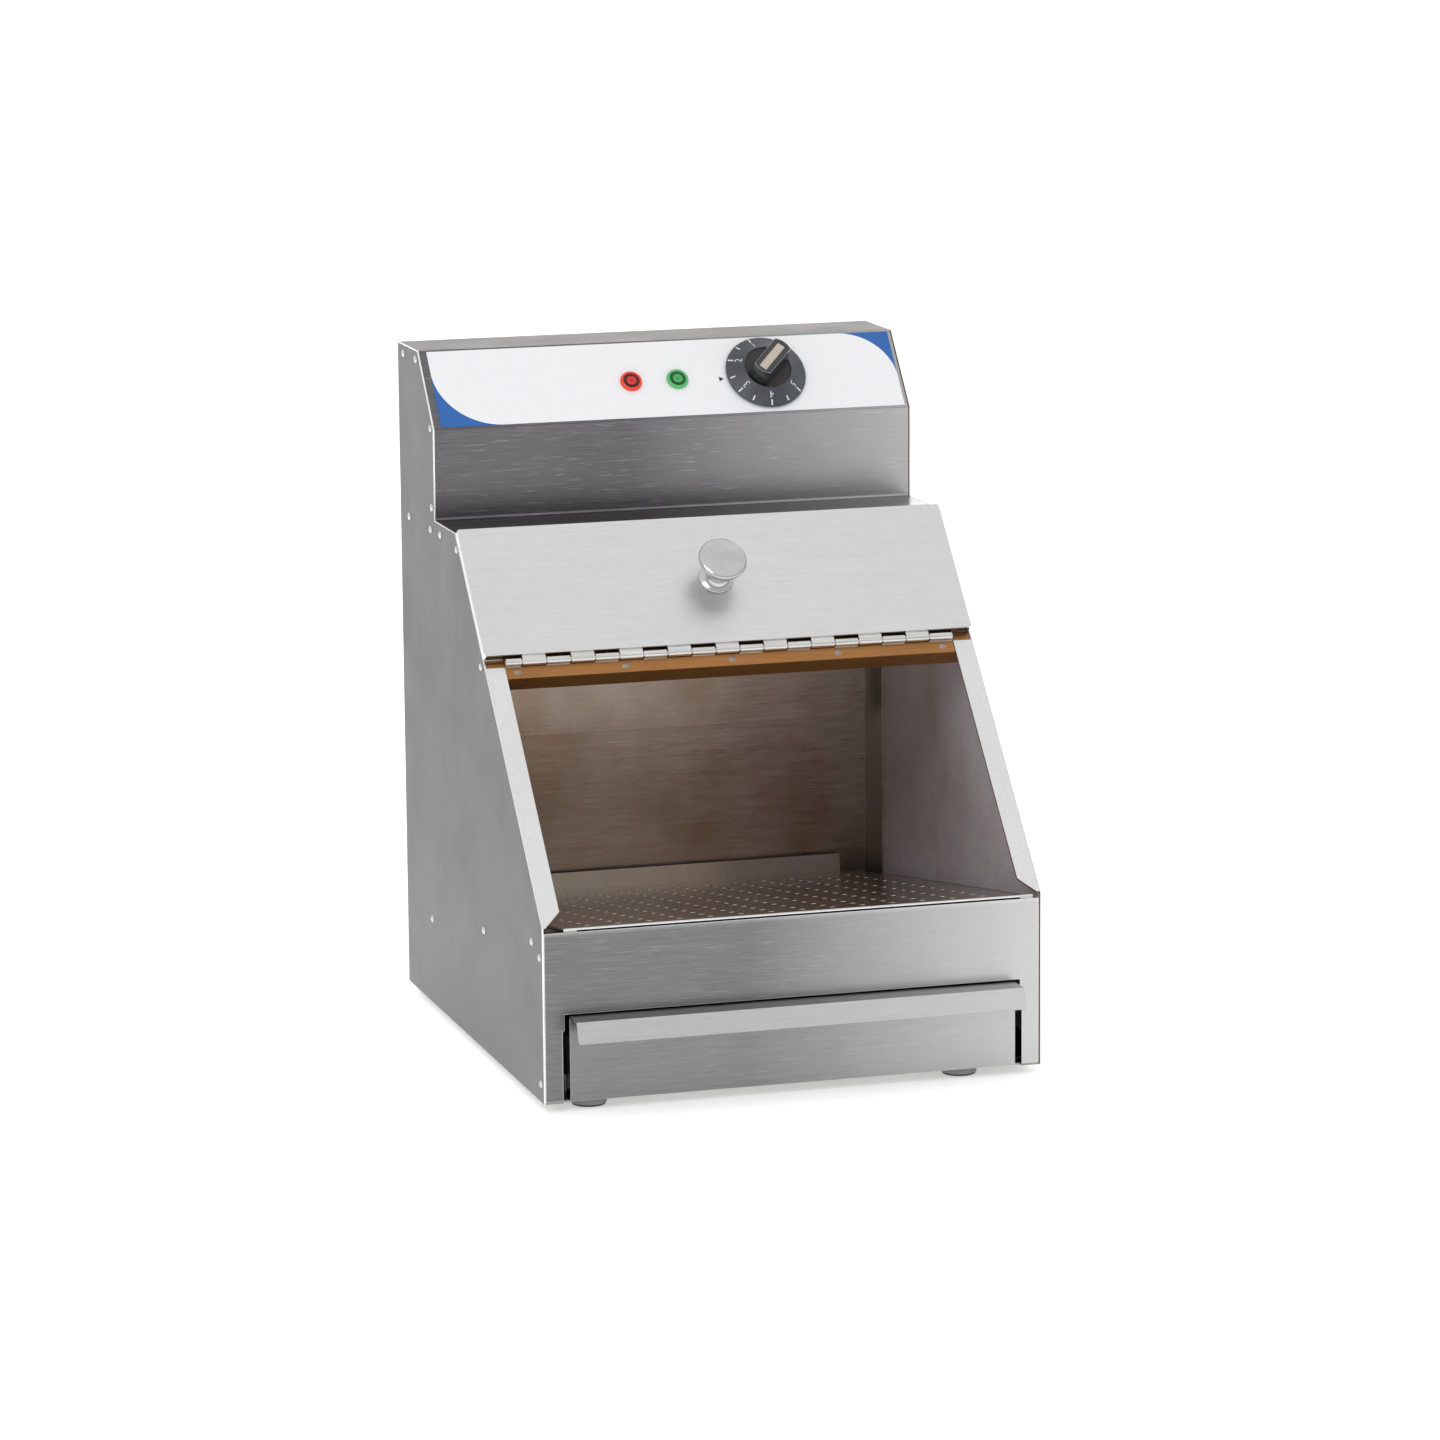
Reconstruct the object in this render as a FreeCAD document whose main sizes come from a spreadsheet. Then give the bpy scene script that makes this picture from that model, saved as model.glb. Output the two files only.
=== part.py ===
"""Countertop french fry dump station: folded stainless housing with a hinged lid, a sloping
perforated tray, a crumb drawer and a thermostat dial.

Frame: origin at the middle of the footprint on the worktop, +X to the right, the front faces -Y,
+Z up, millimetres. Most housing pieces are drawn in a housing frame whose origin is the bottom
front edge of the body (x across, y from the front face to the rear, z from the base plate up),
pieces of the lid and hinge in a frame on the sloping mouth, pieces of the control panel in a
frame on the control slope, and the tray in its own tilted frame.
"""

import FreeCAD, Part
import math
import os
import re

import Sketcher
from FreeCAD import Placement, Rotation, Vector

# Driving sizes: alias, value in millimetres (degrees for angles, plain numbers for counts), meaning.
SIZES = [
    ("body_width", 330.0, "over both side panels"),
    ("body_depth", 355.0, "front face to rear face"),
    ("body_height", 439.5, "base to top, without the feet"),
    ("top_depth", 54.0, "flat top, rear face to head of the control slope"),
    ("control_run", 40.0, "control slope, measured level"),
    ("control_drop", 47.1, "control slope, measured upright"),
    ("fascia_drop", 60.5, "upright face under the control slope"),
    ("ledge_depth", 55.0, "level ledge under the fascia"),
    ("mouth_sill", 113.5, "height of the side panels' front corner"),
    ("side_sheet", 1.2, "sheet of the side panels"),
    ("cover_sheet", 1.2, "sheet of the hood, front, back and lid"),
    ("base_sheet", 1.2, "sheet of the base plate"),
    ("bracket_sheet", 1.2, "sheet of rails, runners and brackets"),
    ("bend_radius", 0.8, "inside radius of a folded edge"),
    ("seat_gap", 0.3, "gap between pieces that lift or slide apart"),
    ("fit_gap", 0.05, "radial gap of a shaft in its hole"),
    ("overrun", 2.0, "how far cutting tools pass the surface"),
    ("hood_flange", 14.0, "hood side flanges, riveted to the side panels"),
    ("hood_return", 15.0, "fold of the hood down the slope, under the lid"),
    ("return_tab_width", 9.0, "tabs of that fold, along the slope"),
    ("return_tab_drop", 9.0, "tabs of that fold, along the side panels"),
    ("return_tab_lap", 5.0, "tabs of that fold, lap under it"),
    ("mouth_flange", 13.5, "side panels' inward fold along the mouth"),
    ("mouth_corner", 11.0, "cut corner at the foot of that fold"),
    ("mouth_heel", 2.6, "width left at the foot of the cut corner"),
    ("back_return", 40.0, "back panel's side folds along the side panels"),
    ("back_top_fold", 12.0, "back panel's fold under the hood"),
    ("vent_length", 34.0, "ventilation slot"),
    ("vent_width", 4.0, "ventilation slot"),
    ("vent_pitch", 12.0, "slot to slot"),
    ("vent_count", 9, "slots in a row"),
    ("vent_drop", 26.0, "top of the body to the top of the slots"),
    ("baffle_margin", 13.0, "side panel to rear baffle"),
    ("baffle_foot", 167.0, "height of the rear baffle's lower edge"),
    ("baffle_depth", 12.0, "rear baffle's stand-off from the back panel"),
    ("front_height", 109.7, "front panel, base to top edge"),
    ("front_hem", 5.5, "hem folded behind the front panel's top edge"),
    ("front_return", 14.0, "front panel's side folds"),
    ("opening_inset", 14.0, "side of the body to the drawer cut-out"),
    ("drawer_opening_height", 57.0, "height of the drawer cut-out"),
    ("opening_step", 1.3, "extra width of the cut-out below its top corners"),
    ("opening_step_height", 10.0, "height of the narrower top of the cut-out"),
    ("base_flange", 15.0, "base plate's upturned side folds"),
    ("base_front_setback", 3.0, "base plate behind the drawer front"),
    ("floor_overlap", 29.0, "floor reaching forward under the ledge"),
    ("floor_flange", 12.0, "floor's downturned side folds"),
    ("hinge_down", 103.2, "ledge's front edge to the hinge axis, down the slope"),
    ("hinge_inset", 13.7, "side of the body to the end of the hinge"),
    ("first_knuckle_share", 0.679, "short first knuckle, share of a whole one"),
    ("knuckle_count", 19, "fixed and lid knuckles together"),
    ("knuckle_gap", 0.4, "gap between neighbouring knuckles"),
    ("pin_radius", 1.6, "hinge pin"),
    ("leaf_sheet", 1.0, "sheet of the hinge leaves"),
    ("roll_turn", 304.0, "a knuckle's roll round the pin, degrees"),
    ("roll_flats", 9, "flats of a knuckle's roll"),
    ("leaf_width", 11.5, "fixed leaf, edge to hinge axis"),
    ("lid_leaf_width", 25.0, "lid leaf, hinge axis to edge"),
    ("hinge_recess", 2.5, "hinge axis to the fold of the side panels, down the slope"),
    ("rail_depth", 30.0, "hinge rail along the slope"),
    ("rail_fold", 12.0, "hinge rail's folds"),
    ("rail_tab", 20.0, "hinge rail's end tabs along the slope"),
    ("lid_heel_gap", 0.85, "knuckles to the lid's lower edge"),
    ("lid_head_gap", 1.0, "lid's top edge to the ledge's front edge"),
    ("lid_corner", 2.0, "lid corner radius"),
    ("knob_height", 25.5, "lid knob"),
    ("knob_radius", 16.0, "lid knob's head"),
    ("knob_foot_radius", 11.7, "lid knob's foot"),
    ("knob_neck_radius", 6.2, "lid knob's neck"),
    ("knob_foot_height", 1.6, "edge of the lid knob's foot"),
    ("knob_head_height", 7.0, "lid knob's head"),
    ("knob_crown", 1.6, "rise of the head's crown"),
    ("knob_waist_share", 0.45, "height of the neck, share of the height under the head"),
    ("knob_throat_share", 0.56, "knob under its head, share of the head"),
    ("knob_throat_height_share", 0.88, "height of that place, share of the height under the head"),
    ("knob_rim_share", 0.4, "height of the head's rim, share of the head"),
    ("knob_shoulder_share", 0.8, "edge of the crown, share of the head"),
    ("screw_crown_share", 0.7, "flat of a pan head, share of the head"),
    ("knob_screw_radius", 2.0, "screw into the lid knob"),
    ("knob_screw_length", 14.0, "screw into the lid knob"),
    ("screw_head_radius", 4.2, "pan head of the knob and foot screws"),
    ("screw_head_height", 2.4, "pan head of the knob and foot screws"),
    ("tray_inset", 14.0, "side of the body to the perforated tray"),
    ("tray_ear", 8.6, "tray's right front ear beyond its side"),
    ("tray_ear_root", 7.0, "front edge to the ear's root"),
    ("tray_sheet", 1.5, "sheet of the tray"),
    ("tray_front_height", 112.3, "top of the tray's front edge"),
    ("tray_slope", 9.0, "fall of the tray to the rear, degrees"),
    ("tray_rear_gap", 6.0, "tray to back panel"),
    ("tray_lip", 12.0, "upturned rear lip"),
    ("tray_lip_inset", 9.0, "side of the tray to its rear lip"),
    ("tray_tab_width", 8.5, "downturned front tabs"),
    ("hole_radius", 2.5, "perforation"),
    ("hole_sides", 6, "flat sides of a perforation"),
    ("hole_columns", 14, "perforations across"),
    ("hole_rows", 15, "perforations along"),
    ("hole_front", 16.0, "front edge to the first row"),
    ("hole_rear", 53.3, "last row to the rear edge"),
    ("hole_side", 19.7, "side of the tray to the outer columns"),
    ("rail_leg", 18.0, "tray support's level leg"),
    ("rail_drop", 14.0, "tray support's upright leg"),
    ("drawer_inset", 17.2, "side of the body to the drawer front"),
    ("drawer_foot", 0.8, "drawer front's lower edge above the body's base"),
    ("drawer_height", 54.8, "drawer front"),
    ("drawer_pan_inset", 1.8, "pan narrower than the drawer front, each side"),
    ("drawer_pan_rear", 27.8, "rear face of the body to the drawer pan"),
    ("drawer_pan_height", 33.0, "drawer pan's walls"),
    ("handle_top_reach", 16.0, "handle lip's level top"),
    ("handle_reach", 21.6, "handle lip's lower edge in front of the body"),
    ("handle_drop", 13.6, "height of the handle lip's face"),
    ("handle_corner", 3.5, "rounded lower corners of the handle lip"),
    ("runner_height", 14.0, "drawer runner"),
    ("runner_foot", 11.0, "drawer runner's foot and ledge"),
    ("runner_ledge", 5.6, "top of the runner's ledge above the base plate"),
    ("runner_gap", 0.5, "drawer pan to runner"),
    ("foot_height", 6.0, "foot"),
    ("foot_radius", 11.5, "foot"),
    ("foot_front_inset", 18.5, "front face to front foot's centre"),
    ("foot_rear_inset", 30.0, "rear face to rear foot's centre"),
    ("foot_left_inset", 34.0, "left side to left foot's centre"),
    ("foot_right_inset", 49.0, "right side to right foot's centre"),
    ("foot_pad", 1.4, "foot's dark sole"),
    ("foot_sole_share", 0.92, "sole, share of the foot"),
    ("foot_screw_radius", 2.4, "foot screw"),
    ("foot_screw_rise", 4.0, "foot screw above the base plate"),
    ("label_sheet", 0.3, "control label"),
    ("label_margin", 4.6, "side of the body to the label"),
    ("label_edge", 1.2, "head and foot of the slope to the label"),
    ("dial_inset", 95.4, "right side of the body to the dial"),
    ("dial_along", 31.2, "foot of the control slope to the dial"),
    ("skirt_radius", 27.5, "dial skirt"),
    ("skirt_edge", 1.3, "height of the skirt's rim"),
    ("hub_radius", 16.4, "dial hub ring"),
    ("hub_height", 7.2, "top of the skirt"),
    ("hub_recess", 1.2, "hub face below the skirt's top"),
    ("hub_ring_share", 0.96, "foot of the hub ring, share of the hub"),
    ("grip_radius", 15.0, "ends of the grip bar at the hub"),
    ("grip_width", 14.8, "grip bar at the hub"),
    ("grip_height", 20.8, "grip bar above the skirt's foot"),
    ("grip_taper", 4.5, "draft of the grip bar, degrees"),
    ("grip_angle", 46.0, "grip bar's turn at rest, degrees"),
    ("insert_length", 23.6, "pale insert in the grip"),
    ("insert_width", 5.6, "pale insert in the grip"),
    ("insert_depth", 0.8, "pale insert in the grip"),
    ("insert_proud", 0.2, "pale insert above the grip"),
    ("dial_gap", 1.0, "dial above the label"),
    ("shaft_radius", 3.0, "thermostat shaft"),
    ("shaft_rise", 15.0, "shaft above the label"),
    ("bushing_radius", 5.0, "thermostat bushing"),
    ("bushing_length", 4.2, "thermostat bushing in front of its case"),
    ("thermostat_width", 44.0, "thermostat case"),
    ("thermostat_height", 34.0, "thermostat case"),
    ("thermostat_depth", 27.0, "thermostat case"),
    ("lamp_along", 29.6, "foot of the control slope to the lamps"),
    ("red_spacing", 93.8, "red lamp to the dial"),
    ("green_spacing", 61.7, "green lamp to the dial"),
    ("lamp_radius", 7.4, "lamp lens"),
    ("lamp_rise", 2.4, "lamp lens"),
    ("lamp_groove_outer", 5.3, "groove in the lens"),
    ("lamp_groove_inner", 3.7, "groove in the lens"),
    ("lamp_groove_depth", 1.3, "groove in the lens"),
    ("lamp_button_rise", 1.9, "middle of the lens"),
    ("lamp_rim_share", 0.55, "height of the lens's upright edge, share of the lens"),
    ("lamp_crest_share", 0.85, "crest of the lens, share of the lens"),
    ("lamp_button_share", 0.85, "head of the lens's button, share of its foot"),
    ("lamp_barrel_radius", 5.8, "lamp body behind the panel"),
    ("lamp_barrel_length", 26.0, "lamp body behind the panel"),
    ("element_radius", 4.0, "tubular heating element"),
    ("element_drop", 20.0, "compartment floor to element axis"),
    ("element_inset", 78.0, "rear face to the element's front leg"),
    ("element_bend", 24.0, "element's return bend"),
    ("element_margin", 53.0, "sides of the body to the ends of the legs"),
    ("element_elbow", 14.0, "bends at the element's ends"),
    ("element_stud", 12.0, "element's ends above the compartment floor"),
    ("bracket_inset", 34.0, "ends of the element's legs to its brackets"),
    ("bracket_margin", 7.0, "bracket around the element"),
    ("bulb_radius", 3.0, "thermostat bulb"),
    ("bulb_length", 84.0, "thermostat bulb"),
    ("bulb_drop", 11.0, "compartment floor to bulb axis"),
    ("capillary_radius", 1.2, "thermostat capillary"),
    ("capillary_bend", 5.0, "capillary's bend into the bulb"),
    ("capillary_inset", 54.0, "rear face to the capillary"),
    ("capillary_top", 62.0, "compartment floor to the capillary's head"),
    ("terminal_width", 52.0, "terminal block"),
    ("terminal_depth", 20.0, "terminal block"),
    ("terminal_height", 17.0, "terminal block"),
    ("terminal_inset", 99.0, "left side of the body to the terminal block"),
    ("terminal_rear", 52.0, "rear face to the middle of the terminal block"),
    ("terminal_poles", 5, "terminal block"),
    ("pole_slot", 6.5, "terminal slot"),
    ("pole_slot_depth", 7.0, "terminal slot"),
    ("gland_inset", 53.0, "left side of the body to the cable gland"),
    ("gland_rise", 26.0, "ledge to the cable gland"),
    ("gland_reach", 20.0, "gland behind the rear face"),
    ("gland_radius", 8.0, "gland's barrel"),
    ("gland_hex", 11.0, "gland's hexagon, centre to corner"),
    ("gland_hex_length", 6.0, "gland's hexagon"),
    ("gland_cap_radius", 9.6, "gland's cap"),
    ("gland_mouth_radius", 7.4, "gland's cap at its mouth"),
    ("gland_cap_share", 0.6, "straight part of the cap, share of the reach"),
    ("gland_bore", 4.6, "gland's bore"),
    ("gland_inside", 9.0, "gland's barrel inside the back panel"),
    ("gland_nut_length", 4.5, "gland's lock nut"),
    ("rivet_radius", 2.5, "rivet head"),
    ("rivet_flat", 1.3, "flat top of a rivet head"),
    ("rivet_rise", 1.1, "rivet head"),
    ("tray_rivet_front_share", 0.07, "first rivet of a tray support, share of the depth"),
    ("tray_rivet_middle_share", 0.41, "second rivet of a tray support, share of the depth"),
    ("tray_rivet_rear_share", 0.8, "last rivet of a tray support, share of the depth"),
    ("rivet_edge", 6.0, "rivets from a folded edge"),
    ("round_sides", 16, "flats of a turned form"),
    ("small_round_sides", 8, "flats of a small turned form"),
    ("hinge_rivet_radius", 2.9, "hinge rivet head"),
    ("hinge_rivet_rise", 0.9, "hinge rivet head"),
    ("hinge_rivet_end", 7.5, "end of the hinge to its first rivet"),
    ("hinge_rivet_count", 5, "hinge rivets"),
    ("leaf_rivet_edge", 5.2, "fixed leaf's edge to its rivets"),
]
NAMES = {alias for alias, value, meaning in SIZES}
WORD = re.compile(r"[a-z][a-z_]+[a-z]")

# Derived places, written as expressions of the driving sizes.
FRONT = "((handle_reach - body_depth - gland_reach)/2)"
HALF = "(body_width/2)"
INNER = "(body_width/2 - side_sheet)"
CONTROL_HEAD_Y = "(body_depth - top_depth)"
CONTROL_FOOT_Y = "(body_depth - top_depth - control_run)"
CONTROL_FOOT_Z = "(body_height - control_drop)"
LEDGE_Y = "(body_depth - top_depth - control_run - ledge_depth)"
LEDGE_Z = "(body_height - control_drop - fascia_drop)"
MOUTH_RISE = f"({LEDGE_Z} - mouth_sill)"
MOUTH_ANGLE = f"atan2({MOUTH_RISE}; {LEDGE_Y})"
MOUTH_LENGTH = f"hypot({LEDGE_Y}; {MOUTH_RISE})"
CONTROL_ANGLE = "atan2(control_drop; control_run)"
CONTROL_LENGTH = "hypot(control_run; control_drop)"
FLOOR_TOP = f"({LEDGE_Z} - cover_sheet)"
FLOOR_UNDER = f"({FLOOR_TOP} - bracket_sheet)"
HINGE_RADIUS = "(pin_radius + fit_gap + leaf_sheet)"
HINGE_LIFT = f"({HINGE_RADIUS} + fit_gap - side_sheet)"
HINGE_ALONG = f"({MOUTH_LENGTH} - hinge_down)"
HINGE_LENGTH = "(body_width - 2*hinge_inset)"
KNUCKLE_PITCH = f"({HINGE_LENGTH}/(knuckle_count - 1 + first_knuckle_share))"
LID_UNDER = f"({HINGE_LIFT} + {HINGE_RADIUS} + fit_gap)"
LID_TOP = f"({LID_UNDER} + cover_sheet)"
LID_HEEL = f"({HINGE_ALONG} + {HINGE_RADIUS} + lid_heel_gap)"
LID_HEAD = f"({MOUTH_LENGTH} - lid_head_gap)"
KNOB_ALONG = f"(({LID_HEEL} + {LID_HEAD})/2)"
FIRST_KNUCKLE = f"(first_knuckle_share*{KNUCKLE_PITCH})"
DRAWER_WIDTH = "(body_width - 2*drawer_inset)"
DRAWER_OPENING = "(body_width - 2*opening_inset)"
TRAY_WIDTH = "(body_width - 2*tray_inset)"
TRAY_LENGTH = "((body_depth - cover_sheet - tray_rear_gap)/cos(tray_slope))"
TRAY_LIP_WIDTH = f"({TRAY_WIDTH} - 2*tray_lip_inset)"
HOLE_ACROSS = f"(({TRAY_WIDTH} - 2*hole_side)/(hole_columns - 1))"
HOLE_ALONG = f"(({TRAY_LENGTH} - hole_front - hole_rear)/(hole_rows - 1))"
DIAL_ACROSS = f"({HALF} - dial_inset)"
LAMP_ACROSS = {
    "red": f"({DIAL_ACROSS} - red_spacing)",
    "green": f"({DIAL_ACROSS} - green_spacing)",
}
ELEMENT_FRONT = "(body_depth - element_inset)"
ELEMENT_LEGS = (ELEMENT_FRONT, f"({ELEMENT_FRONT} + 2*element_bend)")
ELEMENT_REACH = f"({HALF} - element_margin)"
BRACKET_ACROSS = f"({ELEMENT_REACH} - bracket_inset)"
CAPILLARY_REAR = "(body_depth - capillary_inset)"
GLAND_ACROSS = f"(gland_inset - {HALF})"
DRAWER_FLOOR = "(base_sheet + runner_ledge + seat_gap)"
SKIRT_FOOT = "(label_sheet + dial_gap)"

# Frames: position of the origin and turn about X, for whole sub-parts.
HOUSING = ("0", FRONT, "foot_height", "0")
MOUTH = ("0", FRONT, "(foot_height + mouth_sill)", MOUTH_ANGLE)
CONTROL = ("0", f"({FRONT} + {CONTROL_FOOT_Y})", f"(foot_height + {CONTROL_FOOT_Z})", CONTROL_ANGLE)
TRAY = ("0", FRONT, "(foot_height + tray_front_height)", "(0 - tray_slope)")
# The same slopes seen from inside the housing frame, for tools and folds on housing pieces.
MOUTH_IN_HOUSING = ("0", "0", "mouth_sill", MOUTH_ANGLE)
CONTROL_IN_HOUSING = ("0", CONTROL_FOOT_Y, CONTROL_FOOT_Z, CONTROL_ANGLE)
TRAY_IN_HOUSING = ("0", "0", "tray_front_height", "(0 - tray_slope)")

PLANES = {
    "XY": Rotation(),
    "YZ": Rotation(Vector(1, 1, 1), 120),
    "XZ": Rotation(Vector(1, 0, 0), 90),
}
ROLES = {"XY": "XY_Plane", "YZ": "YZ_Plane", "XZ": "XZ_Plane"}
AXIS_TURNS = {
    "X": Rotation(Vector(0, 1, 0), 90),
    "Y": Rotation(Vector(1, 0, 0), -90),
    "Z": Rotation(),
}
AXES = {"X": Vector(1, 0, 0), "Y": Vector(0, 1, 0), "Z": Vector(0, 0, 1)}
SIDES = {"left": "-1", "right": "1"}

doc = FreeCAD.newDocument("fry_dump_station")
sheet = doc.addObject("Spreadsheet::Sheet", "sizes")
for row, (alias, value, meaning) in enumerate(SIZES, start=1):
    sheet.set(f"A{row}", meaning)
    sheet.set(f"B{row}", str(value))
    sheet.setAlias(f"B{row}", alias)
doc.recompute()
parts = []


def bound(text):
    """Return an expression with the sheet's name before each driving size."""
    return WORD.sub(lambda word: "sizes." + word.group() if word.group() in NAMES else word.group(), text)


def num(text):
    """Return the present value of an expression."""
    value = sheet.evalExpression(bound(text))
    return float(value.Value if hasattr(value, "Value") else value)


def bind(target, prop, text):
    """Tie one property of an object to an expression."""
    target.setExpression(prop, bound(text))


def bind_place(target, x, y, z):
    """Tie an object's position to three expressions."""
    bind(target, "Placement.Base.x", x)
    bind(target, "Placement.Base.y", y)
    bind(target, "Placement.Base.z", z)


def framed(frame, x, y, z):
    """Return the position of a point given in a tilted frame."""
    across, along, up, turn = frame
    return (
        f"{across} + {x}",
        f"{along} + ({y})*cos({turn}) - ({z})*sin({turn})",
        f"{up} + ({y})*sin({turn}) + ({z})*cos({turn})",
    )


def tilt(target, frame):
    """Turn an object about X with its frame."""
    target.Placement = Placement(Vector(), Rotation(Vector(1, 0, 0), 1))
    bind(target, "Placement.Rotation.Angle", frame[3])


def set_frame(target, frame):
    """Put a whole sub-part into its frame."""
    if frame[3] != "0":
        tilt(target, frame)
    bind_place(target, frame[0], frame[1], frame[2])


def finish(target, label, frame=HOUSING):
    """Name a sub-part, place it and keep it for the hand-out."""
    target.Label = label
    set_frame(target, frame)
    parts.append(target)
    return target


def pin_point(sketch, geometry, vertex, x, y):
    """Hold one sketch vertex at two bound distances from the sketch's origin."""
    for kind, text in (("DistanceX", x), ("DistanceY", y)):
        constraint = Sketcher.Constraint(kind, -1, 1, geometry, vertex, num(text))
        index = sketch.addConstraint(constraint)
        bind(sketch, f"Constraints[{index}]", text)


def arc_between(start, end, radius, side):
    """Return the short arc of a radius from start to end, centre on the left (1) or right (-1)."""
    chord = end - start
    reach = math.sqrt(max(radius**2 - (chord.Length / 2) ** 2, 0.0))
    normal = Vector(-chord.y, chord.x, 0).normalize()
    centre = (start + end) / 2 + normal * reach * side
    first, last = (start, end) if side > 0 else (end, start)
    turn = math.atan2(first.y - centre.y, first.x - centre.x)
    sweep = 2 * math.asin(min(chord.Length / 2 / radius, 1.0))
    return Part.ArcOfCircle(Part.Circle(centre, Vector(0, 0, 1), radius), turn, turn + sweep)


def draw(sketch, corners, closed=True):
    """Draw an outline of bound corners, each (x, y) or (x, y, radius, side) for an arc towards it."""
    count = len(corners)
    points = [Vector(num(corner[0]), num(corner[1]), 0) for corner in corners]
    steps = range(count) if closed else range(count - 1)
    for step in steps:
        target = corners[(step + 1) % count]
        start = points[step]
        end = points[(step + 1) % count]
        if len(target) == 2:
            sketch.addGeometry(Part.LineSegment(start, end))
            pin_point(sketch, step, 1, corners[step][0], corners[step][1])
            last_vertex = 2
        else:
            arc = arc_between(start, end, num(target[2]), target[3])
            index = sketch.addGeometry(arc)
            first, last_vertex = (1, 2) if target[3] > 0 else (2, 1)
            pin_point(sketch, step, first, corners[step][0], corners[step][1])
            radius = sketch.addConstraint(Sketcher.Constraint("Radius", index, num(target[2])))
            bind(sketch, f"Constraints[{radius}]", target[2])
        pin_point(sketch, step, last_vertex, target[0], target[1])
    return sketch


def outline(name, plane, corners, closed=True, frame=None):
    """Make a free sketch on a main plane, or on a tilted frame's own XY plane."""
    sketch = doc.addObject("Sketcher::SketchObject", name)
    draw(sketch, corners, closed)
    if frame is None:
        sketch.Placement = Placement(Vector(), PLANES[plane])
    else:
        set_frame(sketch, frame)
    return sketch


def extrude(name, base, axis, low, high):
    """Extrude a sketch or a sheet section from low to high, along a main axis or its own normal."""
    solid = doc.addObject("Part::Extrusion", name)
    solid.Base = base
    solid.DirMode = "Custom" if axis in AXES else "Normal"
    solid.Dir = AXES.get(axis, Vector(0, 0, 1))
    solid.Solid = True
    bind(solid, "LengthFwd", high)
    bind(solid, "LengthRev", f"0 - ({low})")
    return solid


def section(name, line, thickness):
    """Give an open line the thickness of its sheet; a negative one goes to the other side."""
    band = doc.addObject("Part::Offset2D", name)
    band.Source = line
    band.Mode = "Skin"
    band.Join = "Intersection"
    band.Fill = True
    bind(band, "Value", thickness)
    return band


def box(name, corner, size, frame=None):
    """Make a box from its lowest corner and its size, upright or in a tilted frame."""
    block = doc.addObject("Part::Box", name)
    for prop, text in zip(("Length", "Width", "Height"), size):
        bind(block, prop, text)
    if frame is None:
        bind_place(block, *corner)
    else:
        tilt(block, frame)
        bind_place(block, *framed(frame, *corner))
    return block


def rod(name, axis, start, radius, length):
    """Make a cylinder along a main axis from the middle of its first end."""
    cylinder = doc.addObject("Part::Cylinder", name)
    cylinder.Placement = Placement(Vector(), AXIS_TURNS[axis])
    bind(cylinder, "Radius", radius)
    bind(cylinder, "Height", length)
    bind_place(cylinder, *start)
    return cylinder


def prism(name, radius, length, sides):
    """Make a bar with flat sides about Z; the radius runs to its corners."""
    blank = doc.addObject("Part::Prism", name)
    bind(blank, "Polygon", sides)
    bind(blank, "Circumradius", radius)
    bind(blank, "Height", length)
    return blank


def bar(name, axis, start, radius, length, sides="small_round_sides"):
    """Make a bar with flat sides along a main axis from the middle of its first end."""
    blank = prism(name, radius, length, sides)
    blank.Placement = Placement(Vector(), AXIS_TURNS[axis])
    bind_place(blank, *start)
    return blank


def tilted_bar(name, frame, start, radius, length, sides="small_round_sides"):
    """Make a bar with flat sides along the normal of a tilted frame."""
    blank = prism(name, radius, length, sides)
    tilt(blank, frame)
    bind_place(blank, *framed(frame, *start))
    return blank


def around(radius, sides="small_round_sides"):
    """Return the corner radius of a flat-sided form that clears a round one."""
    return f"({radius})/cos(180/{sides})"


def faceted(name, rings, sides="round_sides"):
    """Raise a solid through rings of flats about Z, each (radius, height)."""
    polygons = []
    for index, (radius, height) in enumerate(rings):
        polygon = doc.addObject("Part::RegularPolygon", f"{name}_ring_{index}")
        bind(polygon, "Polygon", sides)
        bind(polygon, "Circumradius", radius)
        bind(polygon, "Placement.Base.z", height)
        polygons.append(polygon)
    return loft(name, polygons)


def loft(name, rings):
    """Join rings into a solid with flat faces."""
    solid = doc.addObject("Part::Loft", name)
    solid.Sections = rings
    solid.Solid = True
    solid.Ruled = True
    return solid


def bend(name, turn, centre, radius, tube, sweep):
    """Bend a bar with flat sides about its centre's own Z, starting at its own X."""
    ring = doc.addObject("Part::RegularPolygon", f"{name}_ring")
    bind(ring, "Polygon", "small_round_sides")
    bind(ring, "Circumradius", tube)
    ring.Placement = Placement(Vector(), PLANES["XZ"])
    bind(ring, "Placement.Base.x", radius)
    bent = doc.addObject("Part::Revolution", name)
    bent.Source = ring
    bent.Axis = Vector(0, 0, 1)
    bent.Angle = sweep
    bent.Solid = True
    bent.Placement = Placement(Vector(), turn)
    bind_place(bent, *centre)
    return bent


def fuse(name, shapes):
    """Join solids into one."""
    joined = doc.addObject("Part::MultiFuse", name)
    joined.Shapes = shapes
    joined.Refine = True
    return joined


def group(name, shapes):
    """Keep separate solids together as one object."""
    grouped = doc.addObject("Part::Compound", name)
    grouped.Links = shapes
    return grouped


def cut(name, base, tools):
    """Cut tools out of a solid."""
    tool = tools[0] if len(tools) == 1 else fuse(name + "_tools", tools)
    result = doc.addObject("Part::Cut", name)
    result.Base = base
    result.Tool = tool
    result.Refine = True
    return result


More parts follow.
